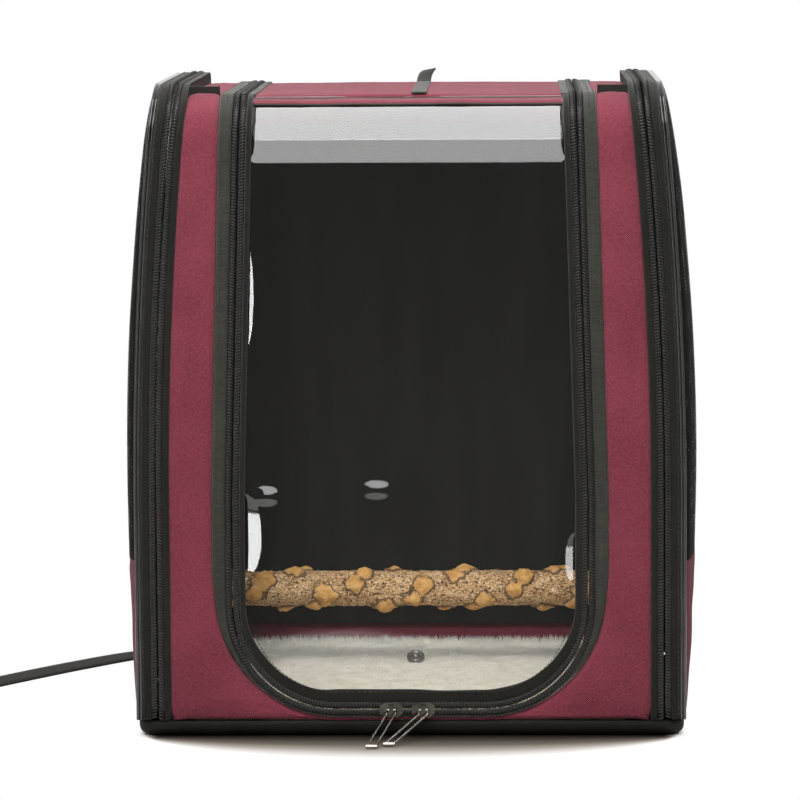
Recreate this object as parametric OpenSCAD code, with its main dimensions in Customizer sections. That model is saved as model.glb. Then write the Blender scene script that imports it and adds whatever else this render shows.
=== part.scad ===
// Bird travel carrier: an upright soft carrier with a clear front flap, a top flap that
// opens with it, two zip-off mesh sides, a perch, a plush mat and shoulder straps.
// X runs to the right, Y to the back and Z up. The front faces -Y. The origin is on the
// floor, at the middle of the base.

/* [Body] */
// Half of the carrier's width, over the piping
side_half_w = 183; // [170:1:200]
// Depth from the front fabric to the back fabric
body_d = 255; // [240:1:280]
// How far the side rims stand above the top flap
rim_rise = 7; // [4:1:10]
// Height of the top flap
top_h = 425; // [412:1:428]
// Height up to which the sides stand upright
straight_h = 150; // [140:1:180]
// How far each side leans in at the top
top_in = 15; // [8:1:20]
// Radius of the long corners at the top front and top back
corner_r = 30; // [26:1:36]
// Thickness of the padded fabric
wall = 4; // [3:0.5:5]

/* [Base] */
// Height of the base tray's edge
base_h = 10; // [9:1:11]
// Wall of the base tray
tray_wall = 3; // [2.5:0.5:3.5]
// Corner radius of the base tray, seen from above
tray_r = 12; // [8:1:16]
// Thickness of the base board
board_t = 3; // [2:0.5:4]
// Height of the stiff boards that carry the perch
sill_h = 112; // [100:1:125]
// Thickness of the stiff boards that carry the perch
sill_t = 3; // [2:0.5:3]

/* [Zips] */
// Width of one row of coil teeth
coil_w = 4; // [3.5:0.1:4.2]
// Thickness of the coil
coil_t = 2.2; // [1.8:0.1:2.4]
// Space between the two rows of teeth
coil_gap = 1.2; // [1:0.1:1.4]
// Thickness of the zip tape
tape_t = 1.2; // [0.8:0.1:1.2]
// Height at which the side zips end
side_zip_z = 24; // [20:1:30]
// Length of a zip slider
slider_l = 15; // [13:0.5:16]
// Width of a zip slider
slider_w = 10.4; // [9.6:0.2:11]
// Thickness of a slider's plates
plate_t = 1.4; // [1:0.1:1.6]
// Wire radius of a zip pull
pull_r = 0.8; // [0.6:0.1:0.9]

/* [Sides] */
// Width of the glossy piping
piping_w = 4; // [3:0.5:5]
// Width of the tape on a side door
door_tape_w = 6; // [5:0.5:7]
// Width of the tape on the fixed rim
rim_tape_w = 3.8; // [3:0.2:4.4]
// Depth of the fixed rim behind its tape
rim_t = 12; // [10:1:14]
// How far a side door swells outwards
bulge = 12; // [8:1:15]
// Thickness of the mesh and fabric of a side door
mesh_t = 1.6; // [1.2:0.1:2]
// Height of the wine-red lower part of a side door
skirt_h = 118; // [90:1:140]

/* [Window] */
// Half-width of the window zip's middle line at the top
zip_top = 110.5; // [106:0.5:116]
// Half-width of the window zip's middle line lower down
zip_low = 118; // [116:0.5:123]
// Height of the window zip's middle line at the bottom
zip_z = 18.2; // [17:0.2:22]
// Radius of the window zip's lower corners
zip_r = 69; // [66:0.5:80]
// Width of the black binding beside the window zip
binding_w = 8.6; // [6:0.2:10]
// Width of the flap's own tape at the sides
flap_tape_w = 4; // [3:0.2:6]
// Height of the window's lower edge
window_z = 31; // [29:0.5:36]
// Thickness of the clear film
film_t = 1; // [0.6:0.1:1]
// Angle round the top corner at which the film is sewn to the top flap
seam_angle = 78; // [70:1:82]

/* [Perch and mat] */
// Height of the perch's middle
perch_z = 79; // [74:1:90]
// Thickness of the perch between its knobs
perch_d = 24; // [20:1:28]
// Radius of a perch bolt
bolt_r = 2.95; // [2.45:0.05:2.95]
// Thickness of the plush mat at its middle
mat_t = 18; // [14:1:22]
// Diameter of the press stud's cap
stud_d = 12.5; // [11:0.5:15]

/* [Straps] */
// Width of the strap webbing
web_w = 25; // [20:1:30]
// Thickness of the strap webbing
web_t = 1.6; // [1.2:0.1:2]
// Width of a shoulder pad
pad_w = 60; // [50:1:70]
// Thickness of a shoulder pad
pad_t = 12; // [9:1:15]
// Radius of the grab handle's core
handle_r = 6; // [5:0.5:7]
// Radius of the grab handle's sleeve
sleeve_r = 10; // [9:0.5:12]
// Width of the tie strap
tie_w = 10; // [8:1:14]

/* [Hidden] */

WINE = [0.5, 0.23, 0.28];
BLACK = [0.13, 0.13, 0.12];
TAPE = [0.2, 0.2, 0.19];
GLOSS = [0.08, 0.08, 0.08];
STEEL = [0.78, 0.77, 0.74];
FILM = [0.85, 0.87, 0.88, 0.35];
BARK = [0.62, 0.49, 0.33];
PLUSH = [0.9, 0.87, 0.8];
BOARD = [0.25, 0.24, 0.22];

clear = 0.3;
front = body_d / 2;
rim_h = top_h + rim_rise;
rim_r = corner_r + rim_rise;
reach = 2 * body_d;

// Distances in from the carrier's side edge to each strip of the side zip
k_door_tape = piping_w;
k_door_coil = k_door_tape + door_tape_w;
k_gap = k_door_coil + coil_w;
k_rim_coil = k_gap + coil_gap;
k_rim_tape = k_rim_coil + coil_w;
k_panel = k_rim_tape + rim_tape_w;
k_slider = k_gap + coil_gap / 2;

hinge_z = base_h + 0.5;
door_z = hinge_z + 0.5;

// Half-width of the carrier at a height: upright, then leaning in by the square of the height
function side_hw(z) =
    side_half_w - top_in * pow(max(z - straight_h, 0) / (rim_h - straight_h), 2);
side_steps = 11;
function side_zs(z0, z1) = concat([z0, straight_h],
    [for (i = [1 : side_steps]) straight_h + (z1 - straight_h) * i / side_steps]);

// Front view of the carrier, drawn in by k from its side edges
module outline(k, z0 = base_h) {
    zs = side_zs(z0, rim_h + 8);
    n = len(zs);
    polygon(concat([for (z = zs) [side_hw(z) - k, z]],
        [for (i = [n - 1 : -1 : 0]) [k - side_hw(zs[i]), zs[i]]]));
}

// Strip between two distances in from the right side edge, front view
module strip(k1, k2, z0) {
    zs = side_zs(z0, rim_h + 8);
    n = len(zs);
    polygon(concat([for (z = zs) [side_hw(z) - k1, z]],
        [for (i = [n - 1 : -1 : 0]) [side_hw(zs[i]) - k2, zs[i]]]));
}

// Side view of the carrier, grown outwards by o: upright walls and two round top corners
module side_view(o, h, r, z0) {
    w = front + o;
    rr = r + o;
    translate([-w, z0]) square([2 * w, h - r - z0]);
    translate([rr - w, z0]) square([2 * (w - rr), h + o - z0]);
    for (s = [-1, 1]) translate([s * (w - rr), h - r]) circle(r = rr, $fn = 96);
}

module ring(o1, o2, h, r, z0) {
    translate([-reach, 0, 0]) rotate([90, 0, 90]) linear_extrude(2 * reach) difference() {
        side_view(o2, h, r, z0);
        side_view(o1, h, r, z0 - 1);
    }
}

module along_y() {
    translate([0, reach, 0]) rotate([90, 0, 0]) linear_extrude(2 * reach) children();
}

// Strip of the side zip, from the front over the top to the back, on the right side
module side_band(k1, k2, o1, o2, z0 = base_h) {
    intersection() {
        along_y() strip(k1, k2, z0);
        ring(o1, o2, rim_h, rim_r, z0);
    }
}

module on_side(s) {
    if (s < 0) mirror([1, 0, 0]) children();
    else children();
}

// Window outline moved in by d from the zip's middle line, with its own lower edge
taper_top_z = top_h - 5;
taper_low_z = straight_h + 10;
arc_steps = 14;
function u_right(d, zb, r) = let (cx = zip_low - d - r, cz = zb + r) concat(
    [[zip_top - d, rim_h + 8], [zip_top - d, taper_top_z], [zip_low - d, taper_low_z]],
    [for (i = [0 : arc_steps]) let (a = -90 * i / arc_steps)
        [cx + r * cos(a), cz + r * sin(a)]]);
module u_shape(d, zb, r) {
    p = u_right(d, zb, r);
    n = len(p);
    polygon(concat(p, [for (i = [n - 1 : -1 : 0]) [-p[i][0], p[i][1]]]));
}
half_gap = coil_gap / 2;
in_coil = half_gap + coil_w;
module u_opening() { u_shape(-in_coil, zip_z - in_coil, zip_r + 3.5); }
module u_binding() {
    u_shape(-in_coil - binding_w, zip_z - in_coil - 0.6, zip_r + 7.5);
}
module u_gap_out() { u_shape(-half_gap, zip_z - half_gap, zip_r); }
module u_gap_in() { u_shape(half_gap, zip_z + half_gap, zip_r); }
module u_tape() { u_shape(in_coil, zip_z + in_coil, zip_r - 4); }
module u_window() { u_shape(in_coil + flap_tape_w, window_z, zip_r - 10); }

// The window's strips follow the front, the round corner and the top
module front_ring(o1, o2) { ring(o1, o2, top_h, corner_r, 1); }
corner_y = corner_r - front;
corner_z = top_h - corner_r;
seam_r = corner_r + coil_t + clear;
seam_y = corner_y - seam_r * cos(seam_angle);
seam_z = corner_z + seam_r * sin(seam_angle);
top_end = front - corner_r;

// Wedge in front of and below the seam, a little short of it
module before_seam(gap = 0.25) {
    translate([0, corner_y, corner_z]) rotate([-seam_angle, 0, 0])
        translate([-reach, -reach, -2 * reach - gap]) cube([2 * reach, reach, 2 * reach]);
    translate([-reach, -reach, -reach])
        cube([2 * reach, reach + corner_y, reach + corner_z - gap]);
}
module after_seam(gap = 0.25) {
    intersection() {
        translate([0, corner_y, corner_z]) rotate([-seam_angle, 0, 0])
            translate([-reach, -reach, gap]) cube([2 * reach, 3 * reach, 2 * reach]);
        translate([-reach, -reach, corner_z])
            cube([2 * reach, reach + top_end - gap, reach]);
    }
    translate([-reach, corner_y - 0.5, corner_z])
        cube([2 * reach, top_end - corner_y + 0.5 - gap, reach]);
}

module base_tray() {
    hw = side_half_w - 1;
    color(BLACK) difference() {
        tray_block(hw, front, tray_r, 0, base_h);
        tray_block(hw - tray_wall, front - tray_wall, tray_r - tray_wall, tray_wall, base_h);
    }
}
module tray_block(hx, hy, r, z0, h) {
    translate([0, 0, z0]) linear_extrude(h) {
        square([2 * (hx - r), 2 * hy], center = true);
        square([2 * hx, 2 * (hy - r)], center = true);
        for (sx = [-1, 1], sy = [-1, 1])
            translate([sx * (hx - r), sy * (hy - r)]) circle(r = r, $fn = 48);
    }
}

board_top = tray_wall + board_t;
stud_y = 25;
stud_h = 3;
module base_board() {
    inset = tray_wall + clear;
    color(BOARD) tray_block(side_half_w - 1 - inset, front - inset, tray_r - inset,
        tray_wall, board_t);
}

module front_panel() {
    color(WINE) intersection() {
        along_y() difference() {
            outline(k_panel);
            u_opening();
        }
        ring(-wall, 0, top_h, corner_r, base_h);
        translate([-reach, -reach, base_h]) cube([2 * reach, reach + corner_y, reach]);
    }
}

module back_panel() {
    color(WINE) intersection() {
        along_y() outline(k_panel);
        ring(-wall, 0, top_h, corner_r, base_h);
        translate([-reach, top_end, base_h]) cube([2 * reach, reach, reach]);
    }
}

lining_t = 1.2;
module back_lining() {
    z0 = 34;
    w = side_hw(top_h) - k_panel - 2;
    color(GLOSS) translate([-w, front - wall - lining_t, z0])
        cube([2 * w, lining_t, corner_z - z0]);
}

// Fixed strip of the top beside the window zip: level under the zip, then sagging
sag = 6;
binding_y = corner_y;
module top_side_panel() {
    x0 = zip_top + in_coil;
    x1 = x0 + binding_w + 1;
    x2 = x1 + 9;
    x3 = side_hw(top_h - sag) - k_panel - 0.1;
    color(WINE) translate([0, top_end, 0]) rotate([90, 0, 0])
        linear_extrude(top_end - binding_y) polygon([[x0, top_h], [x1, top_h],
            [x2, top_h - sag], [x3, top_h - sag], [x3, top_h - sag - wall],
            [x2 - 2, top_h - sag - wall], [x1 - 2, top_h - wall], [x0, top_h - wall]]);
}
module top_left_panel() { on_side(-1) top_side_panel(); }
module top_right_panel() { on_side(1) top_side_panel(); }

// Stiff hoop round each side opening, which the side zip is sewn to
module rim() {
    color(BLACK) side_band(k_rim_coil, k_panel, -rim_t, 0);
}
module rim_left() { on_side(-1) rim(); }
module rim_right() { on_side(1) rim(); }

module rim_tape() { color(TAPE) side_band(k_rim_tape, k_panel, 0, tape_t); }
module rim_tape_left() { on_side(-1) rim_tape(); }
module rim_tape_right() { on_side(1) rim_tape(); }

module rim_coil() {
    color(GLOSS) side_band(k_rim_coil, k_rim_tape, 0, coil_t, side_zip_z);
}
module rim_coil_left() { on_side(-1) rim_coil(); }
module rim_coil_right() { on_side(1) rim_coil(); }

module to_top_end(gap = 0) {
    translate([-reach, -reach, 0]) cube([2 * reach, reach + top_end - gap, reach]);
}
module window_binding() {
    color(TAPE) intersection() {
        along_y() difference() {
            u_binding();
            u_opening();
        }
        front_ring(0, tape_t);
        to_top_end();
    }
}
module window_coil() {
    color(GLOSS) intersection() {
        along_y() difference() {
            u_opening();
            u_gap_out();
        }
        front_ring(0, coil_t);
        to_top_end();
    }
}

// Raised black binding across the top of each red front strip
edge_rise = 6;
edge_t = 3;
module top_edge_binding() {
    x0 = zip_top + in_coil + binding_w + 1;
    x1 = side_hw(top_h + edge_rise) - k_panel - 0.3;
    color(TAPE) for (s = [-1, 1]) on_side(s) translate([x0, binding_y - edge_t, top_h])
        cube([x1 - x0, edge_t, edge_rise]);
}

// Stiff boards inside the sides, which the perch is bolted to
sill_x = side_half_w - k_panel;
perch_y = 0;
bolt_clear = 0.35;
module sill() {
    hy = front - rim_t - 0.1;
    color(BOARD) difference() {
        translate([sill_x, -hy, board_top]) cube([sill_t, 2 * hy, sill_h - board_top]);
        translate([sill_x - 1, perch_y, perch_z]) rotate([0, 90, 0])
            cylinder(r = bolt_r + bolt_clear, h = sill_t + 2, $fn = 48);
    }
}
module sill_left() { on_side(-1) sill(); }
module sill_right() { on_side(1) sill(); }

washer_t = 1.6;
washer_r = 9;
perch_hl = sill_x - washer_t;
bolt_in = 26;
nut_gap = 0.2;
nut_h = 6;
nut_r = 5.5;
bolt_out = sill_x + sill_t + washer_t + nut_gap + nut_h + 2;
knob_n = 22;
knob_r = 5.6;
golden = 137.5;
// Branch with blunt knobs, placed round it by the golden angle
module perch_branch() {
    color(BARK) translate([0, perch_y, perch_z]) difference() {
        union() {
            translate([-perch_hl, 0, 0]) rotate([0, 90, 0])
                cylinder(d = perch_d, h = 2 * perch_hl, $fn = 64);
            for (i = [0 : knob_n - 1]) {
                x = (perch_hl - 14) * (2 * i / (knob_n - 1) - 1);
                rotate([golden * i, 0, 0]) translate([x, 0, perch_d / 2 - 2])
                    sphere(r = knob_r - (i % 3) * 0.6, $fn = 24);
            }
        }
        for (s = [-1, 1]) on_side(s) translate([perch_hl - bolt_in, 0, 0])
            rotate([0, 90, 0]) cylinder(r = bolt_r + 0.02, h = bolt_in + 1, $fn = 48);
    }
}
module perch_bolts() {
    color(STEEL) for (s = [-1, 1]) on_side(s)
        translate([perch_hl - bolt_in + 0.5, perch_y, perch_z]) rotate([0, 90, 0])
            cylinder(r = bolt_r, h = bolt_out - perch_hl + bolt_in - 0.5, $fn = 48);
}
module washer(x) {
    translate([x, perch_y, perch_z]) rotate([0, 90, 0]) difference() {
        cylinder(r = washer_r, h = washer_t, $fn = 48);
        translate([0, 0, -1]) cylinder(r = bolt_r + bolt_clear, h = washer_t + 2, $fn = 48);
    }
}
module perch_washers() {
    color(STEEL) for (s = [-1, 1]) on_side(s) {
        washer(perch_hl);
        washer(sill_x + sill_t);
    }
}
module wing_nut() {
    wing_l = 12;
    wing_t = 2.4;
    color(STEEL) translate([sill_x + sill_t + washer_t + nut_gap, perch_y, perch_z])
        rotate([0, 90, 0]) difference() {
            union() {
                cylinder(r = nut_r, h = nut_h, $fn = 48);
                for (s = [-1, 1]) translate([s * (nut_r + wing_l) / 2 - wing_l / 2, -wing_t / 2, 1.5])
                    cube([wing_l, wing_t, nut_h - 1.5]);
            }
            translate([0, 0, -1]) cylinder(r = bolt_r + 0.08, h = nut_h + 2, $fn = 48);
        }
}
module wing_nut_left() { on_side(-1) wing_nut(); }
module wing_nut_right() { on_side(1) wing_nut(); }

// Press stud: ball half on the base board, cap half on the mat
stud_r = 1.9;
module mat_stud() {
    color(STEEL) translate([0, stud_y, board_top]) {
        cylinder(r = stud_d / 2, h = 0.8, $fn = 48);
        cylinder(r = stud_r, h = stud_h, $fn = 32);
    }
}
mat_z = board_top + 1;
mat_top = mat_z + mat_t;
module mat_snap() {
    color(STEEL) translate([0, stud_y, 0]) difference() {
        union() {
            translate([0, 0, mat_z]) cylinder(r = post_r, h = mat_t - 1, $fn = 32);
            translate([0, 0, mat_top - dimple]) cylinder(d = stud_d, h = cap_t, $fn = 48);
        }
        translate([0, 0, mat_z - 1]) cylinder(r = stud_r + 0.1, h = stud_h + 0.4, $fn = 32);
    }
}

// Closed skin over a list of rings, each with the same number of points
module skin(rings) {
    n = len(rings);
    m = len(rings[0]);
    side = [for (i = [0 : n - 2], j = [0 : m - 1]) let (k = (j + 1) % m)
        each [[i * m + j, (i + 1) * m + k, i * m + k],
              [i * m + j, (i + 1) * m + j, (i + 1) * m + k]]];
    last = (n - 1) * m;
    caps = [for (j = [0 : m / 2 - 2]) let (k = m - 1 - j) each [
        [j, j + 1, k], [j + 1, k - 1, k],
        [last + j, last + k, last + j + 1], [last + j + 1, last + k, last + k - 1]]];
    polyhedron([for (r = rings) each r], concat(side, caps), convexity = 8);
}

// The same with the last ring joined to the first
module loop_skin(rings) {
    n = len(rings);
    m = len(rings[0]);
    polyhedron([for (r = rings) each r], [for (i = [0 : n - 1], j = [0 : m - 1])
        let (a = i * m, b = ((i + 1) % n) * m, k = (j + 1) % m)
        each [[a + j, b + k, a + k], [a + j, b + j, b + k]]], convexity = 8);
}

// Mat: rings from the stud's hole out to its edge, crowned at the middle, drawn in at the sides
mat_hx = sill_x - 4;
mat_hy = front - wall - 5;
mat_rings = 9;
mat_sides = 48;
post_r = 4.2;
cap_t = 1.6;
dimple = 1.5;
dimple_r = 8;
function squared(a) = sign(a) * pow(abs(a), 0.28);
function mat_edge(j) = let (c = squared(cos(360 * j / mat_sides)),
    s = squared(sin(360 * j / mat_sides)))
    [(mat_hx - 2 * (1 - s * s)) * c, (mat_hy - 2 * (1 - c * c)) * s];
function mat_hole(j) =
    [dimple_r * cos(360 * j / mat_sides), stud_y + dimple_r * sin(360 * j / mat_sides)];
function mat_height(p) = let (u = abs(p[0]) / mat_hx, v = abs(p[1]) / mat_hy)
    mat_t * (0.42 + 0.58 * sqrt(max((1 - pow(u, 6)) * (1 - pow(v, 6)), 0)));
function mat_ring(t) = [for (j = [0 : mat_sides - 1])
    let (p = mat_hole(j) * (1 - t) + mat_edge(j) * t) [p[0], p[1], mat_z + mat_height(p)]];
function mat_base(t) = [for (j = [0 : mat_sides - 1])
    let (p = mat_hole(j) * (1 - t) + mat_edge(j) * t) [p[0], p[1], mat_z]];
function stud_ring(r, z) = [for (j = [0 : mat_sides - 1])
    [r * cos(360 * j / mat_sides), stud_y + r * sin(360 * j / mat_sides), z]];
module plush_mat() {
    color(PLUSH) loop_skin(concat(
        [stud_ring(post_r + 0.2, mat_top - dimple), stud_ring(stud_d / 2 + 0.2, mat_top - dimple)],
        [for (i = [0 : mat_rings]) mat_ring(sin(90 * i / mat_rings))],
        [mat_base(0.985), stud_ring(post_r + 0.2, mat_z)]));
}

// Top flap, from the seam of the film to the back of the top
module top_flap_panel() {
    color(WINE) intersection() {
        along_y() u_gap_in_top(in_coil);
        front_ring(-3, 0);
        after_seam();
    }
}
module u_gap_in_top(d) {
    translate([d - zip_top, corner_z]) square([2 * (zip_top - d), reach]);
}
module top_flap_tape() {
    color(TAPE) intersection() {
        along_y() difference() {
            u_gap_in_top(in_coil);
            translate([0, -1]) u_gap_in_top(in_coil + flap_tape_w + 1);
        }
        front_ring(0, tape_t);
        after_seam();
    }
}
module top_flap_coil() {
    color(GLOSS) intersection() {
        along_y() difference() {
            u_gap_in_top(half_gap);
            translate([0, -1]) u_gap_in_top(in_coil);
        }
        front_ring(0, coil_t);
        after_seam();
    }
}
tie_x = 7;
tie_t = 1.4;
tie_back = 60;
module tie_strap() {
    color(TAPE) intersection() {
        translate([tie_x - tie_w / 2, -reach, 0]) cube([tie_w, reach + tie_back, reach]);
        front_ring(0, tie_t);
        after_seam();
    }
}
module tie_strap_end() {
    end_l = 14;
    lean = 42;
    color(TAPE) translate([tie_x - tie_w / 2, tie_back + tie_t * sin(lean) + 0.05, top_h])
        rotate([lean, 0, 0])
        cube([tie_w, end_l, tie_t]);
}
// Short webbing loop under the top flap for hanging a toy
loop_l = 48;
loop_w = 15;
loop_drop = 8;
module toy_loop() {
    y0 = corner_y + 12;
    tab = 10;
    color(TAPE) translate([tie_x - 4, y0, top_h - 3]) rotate([90, 0, 0])
        linear_extrude(loop_w, center = true) polygon([
            [-loop_l / 2 - tab, 0], [-loop_l / 2 - tab, -web_t], [-loop_l / 2, -web_t],
            [-loop_l / 4, -loop_drop], [loop_l / 4, -loop_drop], [loop_l / 2, -web_t],
            [loop_l / 2 + tab, -web_t], [loop_l / 2 + tab, 0], [loop_l / 2 - 1, 0],
            [loop_l / 4 - 1, web_t - loop_drop], [1 - loop_l / 4, web_t - loop_drop],
            [1 - loop_l / 2, 0]]);
}

// Front flap: clear film, its tape and its row of teeth
module window_film() {
    color(FILM) intersection() {
        along_y() u_tape();
        front_ring(-film_t, 0);
        before_seam();
    }
}
module window_tape() {
    color(TAPE) intersection() {
        along_y() difference() {
            u_tape();
            u_window();
        }
        front_ring(0, tape_t);
        before_seam();
    }
}
module window_flap_coil() {
    color(GLOSS) intersection() {
        along_y() difference() {
            u_gap_in();
            u_tape();
        }
        front_ring(0, coil_t);
        before_seam();
    }
}

// Zip slider: X along the zip, -Y outwards, +Z towards the side that it stays with
plate_gap = 0.25;
plate_o = coil_t + plate_gap;
eye = 2.6;
crown_o = plate_o + plate_t + eye / 2;
post_t = 1.2;
crown_w = 3.2;
eye_w = 4;
module slider() {
    neck_t = coil_gap - 0.4;
    l = slider_l / 2;
    w = slider_w / 2;
    color(STEEL) {
        translate([0, -plate_o, 0]) rotate([90, 0, 0]) linear_extrude(plate_t)
            polygon([[-l, -w * 0.62], [-l * 0.3, -w], [l * 0.6, -w], [l, -w * 0.5],
                [l, w * 0.5], [l * 0.6, w], [-l * 0.3, w], [-l, w * 0.62]]);
        for (s = [-1, 1]) translate([-crown_w / 2, -plate_o - plate_t - eye - post_t,
            s * (eye_w + post_t) / 2 - post_t / 2]) cube([crown_w, eye + post_t + 0.2, post_t]);
        translate([-crown_w / 2, -plate_o - plate_t - eye - post_t, -eye_w / 2 - post_t])
            cube([crown_w, post_t, eye_w + 2 * post_t]);
        translate([-l * 0.4, -plate_o - 0.2, -neck_t / 2])
            cube([l * 0.8, plate_o + film_t + plate_gap + 0.4, neck_t]);
        translate([-l * 0.5, film_t + plate_gap, -neck_t / 2])
            cube([l, plate_t * 0.7, w + neck_t / 2 - 0.4]);
    }
}
// Places of the front sliders along the lower run of the window zip
slide_x = [-13, 8.3];
module front_slider(i) { translate([slide_x[i], -front, zip_z]) slider(); }
module front_slider_left() { front_slider(0); }
module front_slider_right() { front_slider(1); }

// Wire loop pull from the eye at the origin: a short neck, then two slanting rods
module rod(a, b, r) {
    v = b - a;
    l = norm(v);
    translate(a) rotate([0, acos(v[2] / l), atan2(v[1], v[0])]) cylinder(r = r, h = l, $fn = 20);
}
neck_l = 5;
knuckle_r = pull_r * 1.2;
loop_hw = 2.8;
module wire_pull(dx, dy, dz) {
    tip = [dx, dy, dz];
    straight = [0, dy, dz] * neck_l / norm([0, dy, dz]);
    color(STEEL) {
        rod([-loop_hw, 0, 0], [loop_hw, 0, 0], pull_r);
        for (s = [-1, 1]) {
            a = [s * loop_hw, 0, 0];
            translate(a) sphere(r = knuckle_r, $fn = 24);
            rod(a, a + straight, pull_r);
            translate(a + straight) sphere(r = knuckle_r, $fn = 24);
            rod(a + straight, a + tip, pull_r);
        }
        rod(tip - [loop_hw * 1.3, 0, 0], tip + [loop_hw * 1.3, 0, 0], pull_r * 1.6);
    }
}
pull_y = front + crown_o;
pull_l = [42.3, 35.5];
pull_dx = [-12, -22];
pull_floor = 1.4;
pull_dz = pull_floor - zip_z;
module front_pull(i) {
    translate([slide_x[i], -pull_y, zip_z])
        wire_pull(pull_dx[i], -sqrt(pow(pull_l[i], 2) - pow(pull_dz, 2)), pull_dz);
}
module front_pull_left() { front_pull(0); }
module front_pull_right() { front_pull(1); }

// Side door skin between two heights: it swells outwards between the piping on its edges
skin_in = 2.5;
skin_x = 0.8;
function door_half_y(z) = let (r = rim_r - skin_in, up = max(z - (rim_h - rim_r), 0))
    front - rim_r + sqrt(max(r * r - up * up, 0));
function door_swell(u, z) = bulge * pow(max(cos(90 * u), 0), 0.4)
    * pow(max(sin(180 * (z - door_z) / (rim_h - door_z)), 0), 0.4);
function door_x(u, z) = side_hw(z) - skin_x + door_swell(u, z);
skin_cols = 14;
function skin_u(j) = sin(90 * (2 * j / skin_cols - 1)) * 0.999;
function door_ring(z) = let (h = door_half_y(z)) concat(
    [for (j = [0 : skin_cols]) [door_x(skin_u(j), z), h * skin_u(j), z]],
    [for (j = [skin_cols : -1 : 0]) [door_x(skin_u(j), z) - mesh_t, h * skin_u(j), z]]);
module door_skin(z0, z1, rows) {
    skin([for (i = [rows : -1 : 0]) door_ring(z0 + (z1 - z0) * sin(90 * i / rows))]);
}
door_top = rim_h - skin_in - 0.6;
module door_mesh() { color(BLACK) door_skin(skirt_h + 0.3, door_top, 14); }
module door_mesh_left() { on_side(-1) door_mesh(); }
module door_mesh_right() { on_side(1) door_mesh(); }
module door_skirt() { color(WINE) door_skin(door_z, skirt_h, 6); }
module door_skirt_left() { on_side(-1) door_skirt(); }
module door_skirt_right() { on_side(1) door_skirt(); }

// Glossy piping round a side door
piping_out = 1.6;
module door_piping() { color(GLOSS) side_band(0, k_door_tape, -skin_in, piping_out, door_z); }
module door_piping_left() { on_side(-1) door_piping(); }
module door_piping_right() { on_side(1) door_piping(); }
module door_tape() {
    color(TAPE) side_band(k_door_tape, k_door_coil, 0, tape_t, door_z);
    color(GLOSS) side_band(k_door_coil, k_gap, 0, coil_t, side_zip_z);
}
module door_tape_left() { on_side(-1) door_tape(); }
module door_tape_right() { on_side(1) door_tape(); }

// Slider of each side zip, closed at the foot of the back
side_slide_z = 36;
side_slide_x = side_half_w - k_slider;
module side_slider() {
    translate([side_slide_x, front, side_slide_z]) rotate([0, -90, 180]) slider_side();
}
// The side zip lies on the rim, so this slider has no plate behind the coil
module slider_side() {
    l = slider_l / 2;
    w = slider_w / 2;
    color(STEEL) {
        translate([0, -plate_o, 0]) rotate([90, 0, 0]) linear_extrude(plate_t)
            polygon([[-l, -w * 0.62], [-l * 0.3, -w], [l * 0.6, -w], [l, -w * 0.5],
                [l, w * 0.5], [l * 0.6, w], [-l * 0.3, w], [-l, w * 0.62]]);
        for (s = [-1, 1]) translate([s * (eye_w + post_t) / 2 - post_t / 2,
            -plate_o - plate_t - eye - post_t, -crown_w / 2])
            cube([post_t, eye + post_t + 0.2, crown_w]);
        translate([-eye_w / 2 - post_t, -plate_o - plate_t - eye - post_t, -crown_w / 2])
            cube([eye_w + 2 * post_t, post_t, crown_w]);
        translate([-l * 0.4, -plate_o - 0.2, -(coil_gap - 0.4) / 2])
            cube([l * 0.8, plate_o - 0.1, coil_gap - 0.4]);
    }
}
module side_slider_left() { on_side(-1) side_slider(); }
module side_slider_right() { on_side(1) side_slider(); }
side_pull_l = 30;
module side_pull() {
    translate([side_slide_x, front + crown_o, side_slide_z]) wire_pull(0, 0.01, -side_pull_l);
}
module side_pull_left() { on_side(-1) side_pull(); }
module side_pull_right() { on_side(1) side_pull(); }

// Grab handle, hanging at the top of the back from two tabs
handle_hw = 52;
handle_drop = 48;
handle_bend = 20;
handle_y = front + handle_r + 4;
handle_z = top_h - corner_r - 2;
handle_low = handle_z - handle_drop;
pin_r = 3.4;
pin_hl = 13;
tab_t = 2;
module grab_handle() {
    color(TAPE) translate([0, handle_y, 0]) {
        translate([handle_bend - handle_hw, 0, handle_low]) rotate([0, 90, 0])
            cylinder(r = handle_r, h = 2 * (handle_hw - handle_bend), $fn = 40);
        for (s = [-1, 1]) on_side(s) {
            translate([handle_hw - handle_bend, 0, handle_low + handle_bend])
                rotate([90, 0, 0]) rotate([0, 0, -90])
                    rotate_extrude(angle = 90, $fn = 96) translate([handle_bend, 0])
                        circle(r = handle_r, $fn = 40);
            translate([handle_hw, 0, handle_low + handle_bend])
                cylinder(r = handle_r, h = handle_drop - handle_bend + pin_r + 0.6, $fn = 40);
            translate([handle_hw - pin_hl, 0, handle_z]) rotate([0, 90, 0])
                cylinder(r = pin_r, h = 2 * pin_hl, $fn = 40);
        }
    }
}
module handle_sleeve() {
    hl = handle_hw - handle_bend - 2;
    color(BLACK) translate([-hl, handle_y, handle_low]) rotate([0, 90, 0]) difference() {
        cylinder(r = sleeve_r - 0.5, h = 2 * hl, $fn = 48);
        translate([0, 0, -1]) cylinder(r = handle_r + 0.02, h = 2 * hl + 2, $fn = 40);
    }
}
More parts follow.
